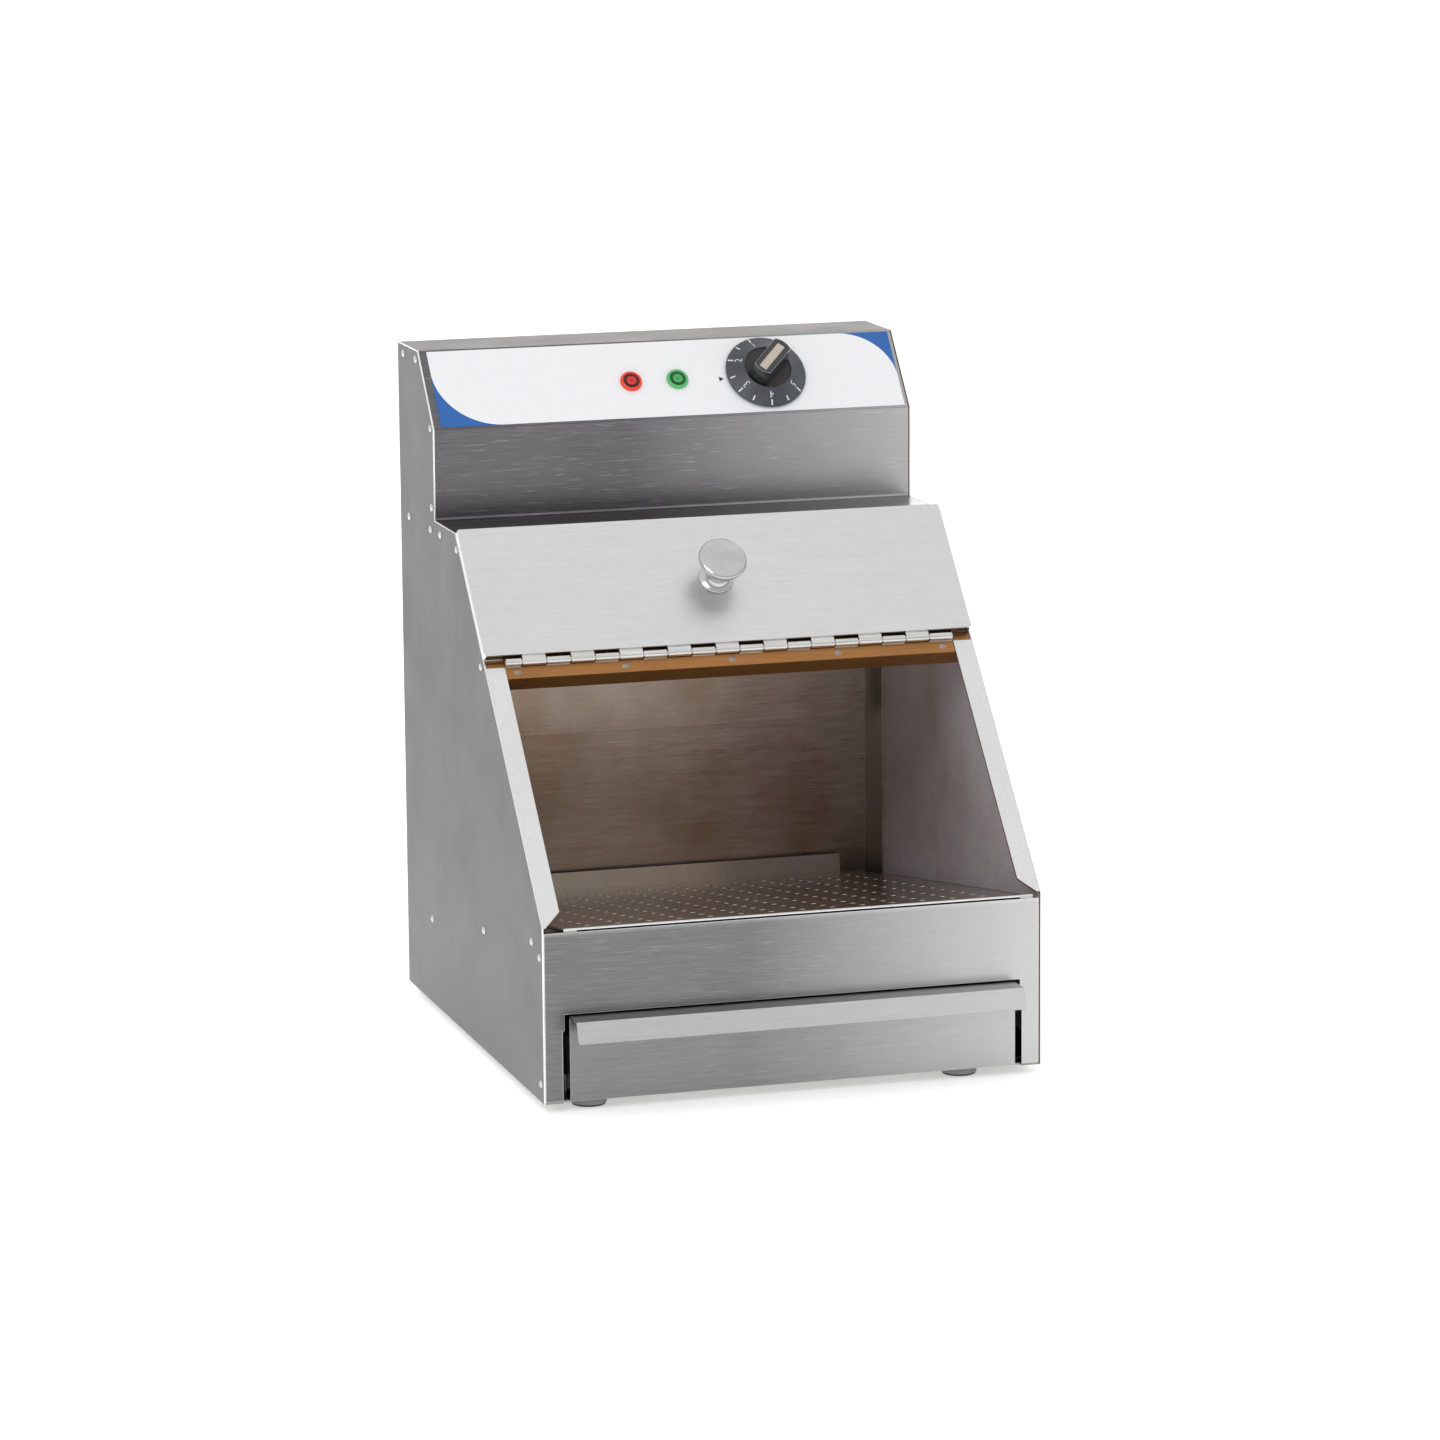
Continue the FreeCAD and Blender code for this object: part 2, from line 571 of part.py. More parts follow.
def round_bends(name, base, places, width):
    """Round the outer and inner edge of each fold that runs along X at a (y, z) place."""
    doc.recompute()
    outer = num("bend_radius + cover_sheet")
    inner = num("bend_radius")
    spots = [(num(y), num(z)) for y, z in places]
    edges = []
    for index, edge in enumerate(base.Shape.Edges, start=1):
        if not isinstance(edge.Curve, Part.Line) or len(edge.Vertexes) != 2:
            continue
        start, end = (vertex.Point for vertex in edge.Vertexes)
        if abs(abs(start.x - end.x) - edge.Length) > 1e-6 or edge.Length < num(width):
            continue
        gap = min(math.hypot(start.y - y, start.z - z) for y, z in spots)
        if gap < 1e-6:
            edges.append((index, outer, outer))
        elif gap < 2 * num("cover_sheet"):
            edges.append((index, inner, inner))
    rounded = doc.addObject("Part::Fillet", name)
    rounded.Base = base
    rounded.Edges = edges
    return rounded


def new_body(name):
    """Start a body and return it with its main planes."""
    body = doc.addObject("PartDesign::Body", name)
    planes = {feature.Role: feature for feature in body.Origin.OriginFeatures}
    return body, planes


def body_sketch(body, planes, name, plane, corners, height=None):
    """Draw a closed outline on one of a body's own main planes, lifted along its normal if asked."""
    sketch = body.newObject("Sketcher::SketchObject", name)
    sketch.AttachmentSupport = (planes[ROLES[plane]], [""])
    sketch.MapMode = "FlatFace"
    draw(sketch, corners)
    if height is not None:
        bind(sketch, "AttachmentOffset.Base.z", height)
    return sketch


def pad(body, name, sketch, length, taper=None):
    """Pad an outline of a body."""
    feature = body.newObject("PartDesign::Pad", name)
    feature.Profile = sketch
    bind(feature, "Length", length)
    if taper is not None:
        bind(feature, "TaperAngle", f"0 - {taper}")
    return feature


def pocket(body, name, sketch, length, upwards=False):
    """Pocket an outline into a body, towards its plane's back unless upwards is set."""
    feature = body.newObject("PartDesign::Pocket", name)
    feature.Profile = sketch
    feature.Reversed = upwards
    bind(feature, "Length", length)
    return feature


def revolve(body, name, sketch, axis):
    """Revolve an outline all round one of the body's axes."""
    feature = body.newObject("PartDesign::Revolution", name)
    feature.Profile = sketch
    feature.ReferenceAxis = (axis, [""])
    feature.Angle = 360
    return feature


def rectangle(low_x, low_y, high_x, high_y):
    """Return the corners of a rectangle."""
    return [(low_x, low_y), (high_x, low_y), (high_x, high_y), (low_x, high_y)]


def hexagon(radius):
    """Return the corners of a hexagon about the origin."""
    turns = range(6)
    return [(f"{radius}*cos({60 * turn})", f"{radius}*sin({60 * turn})") for turn in turns]


# Side panels

SIDE_OUTLINE = [
    ("0", "0"),
    ("body_depth", "0"),
    ("body_depth", "body_height"),
    (CONTROL_HEAD_Y, "body_height"),
    (CONTROL_FOOT_Y, CONTROL_FOOT_Z),
    (CONTROL_FOOT_Y, LEDGE_Z),
    (LEDGE_Y, LEDGE_Z),
    ("0", "mouth_sill"),
]


def side_panel(side, sign):
    """Cut one side from sheet, with its fold along the mouth."""
    face = outline(f"{side}_outline", "YZ", SIDE_OUTLINE)
    if side == "left":
        plate = extrude(f"{side}_plate", face, "X", f"0 - {HALF}", f"0 - {INNER}")
    else:
        plate = extrude(f"{side}_plate", face, "X", INNER, HALF)
    edge = f"{sign}*{HALF}"
    inner = f"{sign}*({HALF} - mouth_flange)"
    recess = f"{sign}*{INNER}"
    corners = [
        (edge, "0"),
        (edge, f"{MOUTH_LENGTH} - side_sheet"),
        (inner, f"{MOUTH_LENGTH} - side_sheet"),
        (inner, LID_HEEL),
        (recess, LID_HEEL),
        (recess, f"{HINGE_ALONG} - hinge_recess"),
        (inner, f"{HINGE_ALONG} - hinge_recess"),
        (inner, "mouth_corner"),
        (f"{sign}*({HALF} - mouth_heel)", "0"),
    ]
    fold = outline(f"{side}_fold_outline", "XY", corners, frame=MOUTH_IN_HOUSING)
    flange = extrude(f"{side}_fold", fold, "own", "0 - side_sheet", "0")
    finish(fuse(f"{side}_side", [plate, flange]), f"{side}_side_panel")


# Hood

HOOD_LINE = [
    ("body_depth", "body_height"),
    (CONTROL_HEAD_Y, "body_height"),
    (CONTROL_FOOT_Y, CONTROL_FOOT_Z),
    (CONTROL_FOOT_Y, LEDGE_Z),
    (LEDGE_Y, LEDGE_Z),
    (f"{LEDGE_Y} - hood_return*cos({MOUTH_ANGLE})", f"{LEDGE_Z} - hood_return*sin({MOUTH_ANGLE})"),
]


PANEL_HOLES = (
    (LAMP_ACROSS["red"], "lamp_along", "lamp_barrel_radius"),
    (LAMP_ACROSS["green"], "lamp_along", "lamp_barrel_radius"),
    (DIAL_ACROSS, "dial_along", "bushing_radius"),
)


def panel_hole(name, across, along, radius):
    """Make the tool for a hole through the control slope."""
    start = (across, along, "0 - cover_sheet - overrun")
    return tilted_bar(name, CONTROL_IN_HOUSING, start, around(radius), "cover_sheet + 2*overrun")


def hood_tabs():
    """Make the joggled tabs that tie the hood's return to the side panels, under their folds."""
    tabs = []
    start = f"{MOUTH_LENGTH} - hood_return"
    reach = "(mouth_flange - side_sheet + return_tab_lap)"
    level_size = (reach, "return_tab_width", "cover_sheet")
    wall_size = ("cover_sheet", "return_tab_width", "return_tab_drop")
    for side in SIDES:
        low = f"0 - {INNER}" if side == "left" else f"{INNER} - {reach}"
        wall = f"0 - {INNER}" if side == "left" else f"{INNER} - cover_sheet"
        level_corner = (low, start, "0 - 2*cover_sheet")
        wall_corner = (wall, start, "0 - cover_sheet - return_tab_drop")
        tabs.append(box(f"hood_{side}_tab_leg", level_corner, level_size, frame=MOUTH_IN_HOUSING))
        tabs.append(box(f"hood_{side}_tab_wall", wall_corner, wall_size, frame=MOUTH_IN_HOUSING))
    return tabs


def hood_cover():
    """Fold the top, control slope, fascia and ledge from one sheet."""
    line = outline("hood_line", "YZ", HOOD_LINE, closed=False)
    skin = extrude("hood_skin", section("hood_section", line, "0 - cover_sheet"), "X", f"0 - {INNER}", INNER)
    flange_corners = [("body_depth - cover_sheet", "body_height")] + HOOD_LINE[1:4]
    flange_line = outline("hood_flange_line", "YZ", flange_corners, closed=False)
    flange = section("hood_flange_section", flange_line, "0 - hood_flange")
    left = extrude("hood_left_flange", flange, "X", f"0 - {INNER}", f"cover_sheet - {INNER}")
    right = extrude("hood_right_flange", flange, "X", f"{INNER} - cover_sheet", INNER)
    folded = fuse("hood_folded", [skin, left, right])
    width = "mouth_flange + seat_gap - side_sheet"
    corner_s = f"{MOUTH_LENGTH} - hood_return - overrun"
    corners = []
    for side, start in (("left", f"0 - {INNER} - overrun"), ("right", f"{INNER} - ({width})")):
        size = (f"{width} + overrun", "hood_return + overrun - side_sheet/2", "2*side_sheet")
        corner = (start, corner_s, "0 - 1.5*side_sheet")
        corners.append(box(f"hood_{side}_relief", corner, size, frame=MOUTH_IN_HOUSING))
    holes = [
        panel_hole(f"panel_hole_{index}", across, along, f"{radius} + fit_gap")
        for index, (across, along, radius) in enumerate(PANEL_HOLES)
    ]
    rounded = round_bends("hood_rounded", folded, HOOD_LINE[1:5], INNER)
    cleared = cut("hood_cleared", rounded, corners + holes)
    finish(fuse("hood", [cleared] + hood_tabs()), "hood_cover")


# Back of the housing

BACK_TOP = "(body_height - cover_sheet)"


def back_panel():
    """Fold the back with its side returns, vents and gland hole."""
    line = [
        (f"0 - {INNER}", "body_depth - back_return"),
        (f"0 - {INNER}", "body_depth"),
        (INNER, "body_depth"),
        (INNER, "body_depth - back_return"),
    ]
    path = outline("back_line", "XY", line, closed=False)
    walls = extrude("back_walls", section("back_section", path, "cover_sheet"), "Z", "0", BACK_TOP)
    low = box(
        "back_base_relief",
        (f"0 - {INNER} - overrun", "body_depth - back_return - overrun", "0 - overrun"),
        ("2*body_width", "back_return + 2*overrun", "base_sheet + overrun"),
    )
    hood_room = box(
        "back_hood_relief",
        (f"0 - {INNER} - overrun", "body_depth - back_return - overrun", "body_height - hood_flange"),
        ("2*body_width", "back_return + overrun - cover_sheet", "hood_flange + overrun"),
    )
    top_fold = box(
        "back_top_fold_sheet",
        (
            f"0 - {INNER} + cover_sheet + seat_gap",
            "body_depth - back_top_fold",
            f"{BACK_TOP} - cover_sheet",
        ),
        (f"2*({INNER} - cover_sheet - seat_gap)", "back_top_fold", "cover_sheet"),
    )
    slots = []
    for index in range(int(num("vent_count"))):
        across = f"({index} - (vent_count - 1)/2)*vent_pitch - vent_width/2"
        corner = (across, "body_depth - cover_sheet - overrun", "body_height - vent_drop - vent_length")
        size = ("vent_width", "cover_sheet + 2*overrun", "vent_length")
        slots.append(box(f"vent_{index}", corner, size))
    gland = (GLAND_ACROSS, "body_depth - cover_sheet - overrun", f"{LEDGE_Z} + gland_rise")
    radius = around("gland_radius + fit_gap", "round_sides")
    slots.append(bar("gland_hole", "Y", gland, radius, "cover_sheet + 2*overrun", "round_sides"))
    body = cut("back_trimmed", walls, [low, hood_room])
    finish(cut("back", fuse("back_folded", [body, top_fold]), slots), "back_panel")


def rear_baffle():
    """Make the shallow cover that stands off the back panel inside the bin."""
    edge = f"({INNER} - baffle_margin)"
    front = "body_depth - cover_sheet - baffle_depth"
    top = f"{FLOOR_UNDER} - floor_flange"
    line = [
        (f"0 - {edge}", "body_depth - cover_sheet"),
        (f"0 - {edge}", front),
        (edge, front),
        (edge, "body_depth - cover_sheet"),
    ]
    path = outline("baffle_line", "XY", line, closed=False)
    bent = section("baffle_section", path, "0 - bracket_sheet")
    walls = extrude("baffle_walls", bent, "Z", "baffle_foot", top)
    size = (f"2*({edge} - bracket_sheet)", "baffle_depth - bracket_sheet", "bracket_sheet")
    corner = (f"bracket_sheet - {edge}", f"{front} + bracket_sheet", "baffle_foot")
    foot = box("baffle_foot_fold", corner, size)
    finish(fuse("baffle", [walls, foot]), "rear_baffle")


# Front and base

def front_panel():
    """Fold the front with its hem, side returns and drawer cut-out."""
    half_step = f"{DRAWER_OPENING}/2 + opening_step"
    step_z = "drawer_opening_height - opening_step_height"
    corners = [
        (f"0 - {INNER}", "base_sheet"),
        (f"0 - ({half_step})", "base_sheet"),
        (f"0 - ({half_step})", f"{step_z} - opening_step"),
        (f"0 - {DRAWER_OPENING}/2", step_z),
        (f"0 - {DRAWER_OPENING}/2", "drawer_opening_height"),
        (f"{DRAWER_OPENING}/2", "drawer_opening_height"),
        (f"{DRAWER_OPENING}/2", step_z),
        (half_step, f"{step_z} - opening_step"),
        (half_step, "base_sheet"),
        (INNER, "base_sheet"),
        (INNER, "front_height"),
        (f"0 - {INNER}", "front_height"),
    ]
    face = extrude("front_face", outline("front_outline", "XZ", corners), "Y", "0", "cover_sheet")
    hem_width = f"2*{INNER} - 4*cover_sheet"
    hem = box(
        "front_hem_fold",
        (f"2*cover_sheet - {INNER}", "cover_sheet", "front_height - front_hem"),
        (hem_width, "cover_sheet", "front_hem"),
    )
    shapes = [face, hem]
    foot = "base_flange + seat_gap"
    for side, start in (("left", f"0 - {INNER}"), ("right", f"{INNER} - cover_sheet")):
        size = ("cover_sheet", "front_return", f"front_height - 2*cover_sheet - ({foot})")
        shapes.append(box(f"front_{side}_return", (start, "0", foot), size))
    finish(fuse("front", shapes), "front_panel")


FEET = {
    "front_left": ("(foot_left_inset - body_width/2)", "foot_front_inset"),
    "front_right": ("(body_width/2 - foot_right_inset)", "foot_front_inset"),
    "rear_left": ("(foot_left_inset - body_width/2)", "(body_depth - foot_rear_inset)"),
    "rear_right": ("(body_width/2 - foot_right_inset)", "(body_depth - foot_rear_inset)"),
}


def base_plate():
    """Fold the base with its upturned sides, the drawer notch and the foot screw holes."""
    line = [
        (f"0 - {INNER}", "base_flange"),
        (f"0 - {INNER}", "0"),
        (INNER, "0"),
        (INNER, "base_flange"),
    ]
    path = outline("base_line", "XZ", line, closed=False)
    tray = extrude("base_folded", section("base_section", path, "base_sheet"), "Y", "0", "body_depth")
    notch_half = f"{DRAWER_OPENING}/2 + opening_step"
    notch = box(
        "base_notch",
        (f"0 - ({notch_half})", "0 - overrun", "0 - overrun"),
        (f"2*({notch_half})", "base_front_setback + overrun", "base_flange"),
    )
    tools = [notch]
    rear = "body_depth - back_return - seat_gap"
    for side, start in (("left", f"0 - {INNER} - overrun"), ("right", f"{INNER} - base_sheet - overrun")):
        size = ("base_sheet + 2*overrun", "back_return + seat_gap + overrun", "base_flange + overrun")
        tools.append(box(f"base_{side}_rear_relief", (start, rear, "base_sheet"), size))
        size = ("base_sheet + 2*overrun", "cover_sheet + overrun", "base_flange + overrun")
        tools.append(box(f"base_{side}_front_relief", (start, "0 - overrun", "base_sheet"), size))
    for name, (across, along) in FEET.items():
        start = (across, along, "0 - overrun")
        radius = around("foot_screw_radius + fit_gap")
        tools.append(bar(f"base_hole_{name}", "Z", start, radius, "base_sheet + 2*overrun"))
    finish(cut("base", tray, tools), "base_plate")


def compartment_floor():
    """Fold the floor between the controls and the bin, with holes for element and capillary."""
    line = [
        (f"0 - {INNER}", f"{FLOOR_TOP} - floor_flange"),
        (f"0 - {INNER}", FLOOR_TOP),
        (INNER, FLOOR_TOP),
        (INNER, f"{FLOOR_TOP} - floor_flange"),
    ]
    path = outline("floor_line", "XZ", line, closed=False)
    front = f"({CONTROL_FOOT_Y} - floor_overlap)"
    rear = "(body_depth - cover_sheet)"
    folded = extrude("floor_folded", section("floor_section", path, "0 - bracket_sheet"), "Y", front, rear)
    relief = "body_depth - back_return - seat_gap"
    tools = []
    for side, start in (("left", f"0 - {INNER} - overrun"), ("right", f"{INNER} - bracket_sheet")):
        size = ("bracket_sheet + overrun", "back_return + overrun", "2*floor_flange")
        tools.append(box(f"floor_{side}_relief", (start, relief, f"{FLOOR_TOP} - 1.5*floor_flange"), size))
    length = "bracket_sheet + 2*overrun"
    for index, along in enumerate(ELEMENT_LEGS):
        start = (f"0 - {ELEMENT_REACH} - element_elbow", along, f"{FLOOR_UNDER} - overrun")
        tools.append(bar(f"element_hole_{index}", "Z", start, around("element_radius + seat_gap"), length))
    start = (DIAL_ACROSS, CAPILLARY_REAR, f"{FLOOR_UNDER} - overrun")
    tools.append(bar("capillary_hole", "Z", start, around("capillary_radius + seat_gap"), length))
    finish(cut("floor", folded, tools), "compartment_floor")


# Supports inside the bin

def tray_rail(side):
    """Make one sloping angle that carries the tray's edge."""
    top = "0 - tray_sheet - seat_gap"
    lean = "(tray_sheet + seat_gap + rail_drop)*tan(tray_slope)"
    start = f"((front_return + seat_gap)/cos(tray_slope) + {lean})"
    length = f"(body_depth - cover_sheet - back_return - seat_gap)/cos(tray_slope) - {start}"
    low = f"0 - {INNER}" if side == "left" else f"{INNER} - rail_leg"
    wall = f"0 - {INNER}" if side == "left" else f"{INNER} - bracket_sheet"
    leg_size = ("rail_leg", length, "bracket_sheet")
    wall_size = ("bracket_sheet", length, "rail_drop")
    leg = box(f"{side}_rail_leg", (low, start, f"{top} - bracket_sheet"), leg_size, frame=TRAY_IN_HOUSING)
    upright = box(f"{side}_rail_wall", (wall, start, f"{top} - rail_drop"), wall_size, frame=TRAY_IN_HOUSING)
    finish(fuse(f"{side}_rail", [leg, upright]), f"{side}_tray_rail")


def drawer_runner(side):
    """Make one angle on the base plate that guides the drawer."""
    inner = f"({DRAWER_WIDTH}/2 - drawer_pan_inset + runner_gap)"
    start = "(front_return + seat_gap)"
    length = f"body_depth - cover_sheet - {start}"
    if side == "left":
        wall_x = f"0 - {inner} - bracket_sheet"
        foot_x = f"0 - {inner} - runner_foot"
        ledge_x = f"0 - {inner} - bracket_sheet"
    else:
        wall_x = inner
        foot_x = inner
        ledge_x = f"{inner} + bracket_sheet - runner_foot"
    wall = box(f"{side}_runner_wall", (wall_x, start, "base_sheet"), ("bracket_sheet", length, "runner_height"))
    foot = box(f"{side}_runner_foot", (foot_x, start, "base_sheet"), ("runner_foot", length, "bracket_sheet"))
    ledge_corner = (ledge_x, start, "base_sheet + runner_ledge - bracket_sheet")
    ledge = box(f"{side}_runner_ledge", ledge_corner, ("runner_foot", length, "bracket_sheet"))
    finish(fuse(f"{side}_runner", [wall, foot, ledge]), f"{side}_drawer_runner")


# Hinge and lid, in the mouth frame

def knuckle_span(index):
    """Return where a knuckle starts and ends across the hinge; the first is the short one."""
    left = f"(0 - {HINGE_LENGTH}/2)"
    start = left if index == 0 else f"({left} + {FIRST_KNUCKLE} + {index - 1}*{KNUCKLE_PITCH})"
    return start, f"({left} + {FIRST_KNUCKLE} + {index}*{KNUCKLE_PITCH})"


def on_roll(sign, radius, turn):
    """Return a point on a circle round the pin."""
    return (
        f"{HINGE_ALONG} + {sign}*{radius}*cos({turn})",
        f"{HINGE_LIFT} + {sign}*{radius}*sin({turn})",
    )


def leaf_profile(sign, width):
    """Return the section of a leaf: its plate, then the roll around the pin and back inside it."""
    bore = "(pin_radius + fit_gap)"
    inner = f"({bore}/cos(roll_turn/roll_flats/2))"
    turns = [f"(0 - 90 + {step}*roll_turn/roll_flats)" for step in range(int(num("roll_flats")) + 1)]
    far = f"{HINGE_ALONG} - {sign}*{width}"
    ramp = f"{HINGE_ALONG} - {sign}*({HINGE_RADIUS} + knuckle_gap)"
    face = f"{HINGE_LIFT} - {sign}*({HINGE_RADIUS} + fit_gap)"
    corners = [(far, face), (ramp, face)]
    corners += [on_roll(sign, HINGE_RADIUS, turn) for turn in turns]
    corners += [on_roll(sign, inner, turn) for turn in reversed(turns)]
    return corners + [(far, f"{HINGE_LIFT} - {sign}*{inner}")]


def hinge_leaf(name, sign, width, own_knuckles):
    """Roll one leaf around the pin and notch it where the other leaf's knuckles lie."""
    profile = outline(f"{name}_profile", "YZ", leaf_profile(sign, width))
    rolled = extrude(f"{name}_rolled", profile, "X", f"0 - {HINGE_LENGTH}/2", f"{HINGE_LENGTH}/2")
    reach = f"({HINGE_RADIUS} + knuckle_gap)"
    notches = []
    for index in range(int(num("knuckle_count"))):
        if index % 2 == own_knuckles:
            continue
        low, high = knuckle_span(index)
        corner = (f"{low} - knuckle_gap/2", f"{HINGE_ALONG} - {reach}", f"{HINGE_LIFT} - {reach}")
        size = (f"{high} - {low} + knuckle_gap", f"2*{reach}", f"2*{reach}")
        notches.append(box(f"{name}_notch_{index}", corner, size))
    return cut(name, rolled, notches)


def fixed_leaf():
    """Make the leaf that is riveted to the hinge rail."""
    finish(hinge_leaf("fixed", "1", "leaf_width", 0), "hinge_fixed_leaf", MOUTH)


def lid_leaf():
    """Make the leaf that is welded under the lid."""
    finish(hinge_leaf("lid_side", "(0 - 1)", "lid_leaf_width", 1), "hinge_lid_leaf", MOUTH)


def hinge_pin():
    """Make the pin through all knuckles."""
    start = (f"0 - {HINGE_LENGTH}/2", HINGE_ALONG, HINGE_LIFT)
    finish(group("pin", [rod("pin_rod", "X", start, "pin_radius", HINGE_LENGTH)]), "hinge_pin", MOUTH)


def hinge_rail():
    """Fold the cross rail under the hinge, with end tabs on the side panels."""
    low = f"({HINGE_ALONG} - leaf_width)"
    high = f"({low} + rail_depth)"
    top = "(0 - side_sheet)"
    line = [
        (low, f"{top} - rail_fold"),
        (low, top),
        (high, top),
        (high, f"{top} - rail_fold"),
    ]
    path = outline("rail_line", "YZ", line, closed=False)
    channel_section = section("rail_section", path, "bracket_sheet")
    channel = extrude("rail_channel", channel_section, "X", f"0 - {INNER}", INNER)
    shapes = [channel]
    tab_start = f"{low} + (rail_depth - rail_tab)/2"
    for side, start in (("left", f"0 - {INNER}"), ("right", f"{INNER} - bracket_sheet")):
        corner = (start, tab_start, f"{top} - rail_fold")
        shapes.append(box(f"rail_{side}_tab", corner, ("bracket_sheet", "rail_tab", "rail_fold")))
    finish(fuse("cross_rail", shapes), "hinge_rail", MOUTH)


def rivet_heads(name, spots, radius, rise):
    """Make a group of low rivet heads through one pair of rings."""
    rings = [(radius, "0"), (f"({radius})*rivet_flat/rivet_radius", rise)]
    heads = [faceted(f"{name}_0", rings, "small_round_sides")]
    heads += [loft(f"{name}_{index}", heads[0].Sections) for index in range(1, len(spots))]
    for head, (centre, turn) in zip(heads, spots):
        head.Placement = Placement(Vector(), turn)
        bind_place(head, *centre)
    return group(name, heads)


def hinge_rivets():
    """Make the rivets through the fixed leaf."""
    spots = []
    for index in range(int(num("hinge_rivet_count"))):
        step = f"({HINGE_LENGTH} - 2*hinge_rivet_end)/(hinge_rivet_count - 1)"
        across = f"hinge_rivet_end - {HINGE_LENGTH}/2 + {index}*{step}"
        along = f"{HINGE_ALONG} - leaf_width + leaf_rivet_edge"
        spots.append(((across, along, "leaf_sheet - side_sheet"), Rotation()))
    heads = rivet_heads("hinge_heads", spots, "hinge_rivet_radius", "hinge_rivet_rise")
    finish(heads, "hinge_rivets", MOUTH)


def lid_panel():
    """Fold the lid: a face with returns at both sides and the top."""
    body, planes = new_body("lid")
    full = rectangle(f"0 - {HALF}", LID_HEEL, HALF, LID_HEAD)
    face = body_sketch(body, planes, "lid_outline", "XY", full, "seat_gap")
    pad(body, "lid_block", face, f"{LID_TOP} - seat_gap")
    hollow = rectangle(
        f"cover_sheet - {HALF}", f"{LID_HEEL} - overrun", f"{HALF} - cover_sheet", f"{LID_HEAD} - cover_sheet"
    )
    inside = body_sketch(body, planes, "lid_inside", "XY", hollow)
    pocket(body, "lid_hollow", inside, LID_UNDER, upwards=True)
    screw_hole = flats_at("0", KNOB_ALONG, around("knob_screw_radius + fit_gap", "hole_sides"))
    hole = body_sketch(body, planes, "lid_hole", "XY", screw_hole)
    pocket(body, "lid_screw_hole", hole, f"{LID_TOP} + overrun", upwards=True)
    doc.recompute()
    corners = []
    for index, edge in enumerate(body.Shape.Edges, start=1):
        start, end = edge.Vertexes[0].Point, edge.Vertexes[-1].Point
        upright = math.hypot(start.x - end.x, start.y - end.y) < 1e-6
        at_side = abs(abs(start.x) - num(HALF)) < 1e-6
        if upright and at_side:
            corners.append(f"Edge{index}")
    folded = body.Tip
    rounding = body.newObject("PartDesign::Fillet", "lid_corners")
    rounding.Base = (folded, corners)
    limited = "min(lid_corner; lid_head_gap + lid_heel_gap + cover_sheet)"
    bind(rounding, "Radius", limited)
    finish(body, "lid_panel", MOUTH)


def in_slope(frame, across, along, up):
    """Return the frame of a piece that stands on a slope."""
    turn = frame[3]
    return (
        across,
        f"({frame[1]} + {along}*cos({turn}) - {up}*sin({turn}))",
        f"({frame[2]} + {along}*sin({turn}) + {up}*cos({turn}))",
        turn,
    )


def flats_at(x, y, radius):
    """Return the corners of a hole with few flat sides about a point."""
    sides = int(num("hole_sides"))
    turns = [f"{turn}*360/hole_sides" for turn in range(sides)]
    return [(f"{x} + ({radius})*cos({turn})", f"{y} + ({radius})*sin({turn})") for turn in turns]


def lid_knob():
    """Shape the mushroom knob, bored for its screw."""
    head_foot = "(knob_height - knob_head_height)"
    rings = [
        ("knob_foot_radius", "0"),
        ("knob_foot_radius", "knob_foot_height"),
        ("knob_neck_radius", f"knob_waist_share*{head_foot}"),
        ("knob_throat_share*knob_radius", f"knob_throat_height_share*{head_foot}"),
        ("knob_radius", f"{head_foot} + knob_rim_share*knob_head_height"),
        ("knob_shoulder_share*knob_radius", "knob_height - knob_crown"),
        ("knob_shoulder_share*knob_radius/2", "knob_height - knob_crown/4"),
        ("knob_shoulder_share*knob_radius/8", "knob_height"),
    ]
    length = "(knob_screw_length - leaf_sheet - cover_sheet)"
    hole = bar("knob_bore", "Z", ("0", "0", "0 - overrun"), "knob_screw_radius", f"{length} + overrun")
    knob = cut("knob", faceted("knob_form", rings), [hole])
    finish(knob, "lid_knob", in_slope(MOUTH, "0", KNOB_ALONG, LID_TOP))


def pan_screw(name, shank_radius, shank_length):
    """Shape a pan-head screw, its head below the origin and its shank upwards."""
    rings = [
        ("screw_crown_share*screw_head_radius", "0 - screw_head_height"),
        ("screw_head_radius", "0 - screw_head_height/2"),
        ("screw_head_radius", "0"),
    ]
    head = faceted(f"{name}_head", rings, "small_round_sides")
    shank = bar(f"{name}_shank", "Z", ("0", "0", "0"), shank_radius, shank_length)
    return fuse(name, [head, shank])


def knob_screw():
    """Make the screw that holds the knob from under the lid."""
    screw = pan_screw("knob_fastener", "knob_screw_radius - fit_gap", "knob_screw_length - leaf_sheet")
    finish(screw, "knob_screw", in_slope(MOUTH, "0", KNOB_ALONG, LID_UNDER))


# Perforated tray, in the tray frame

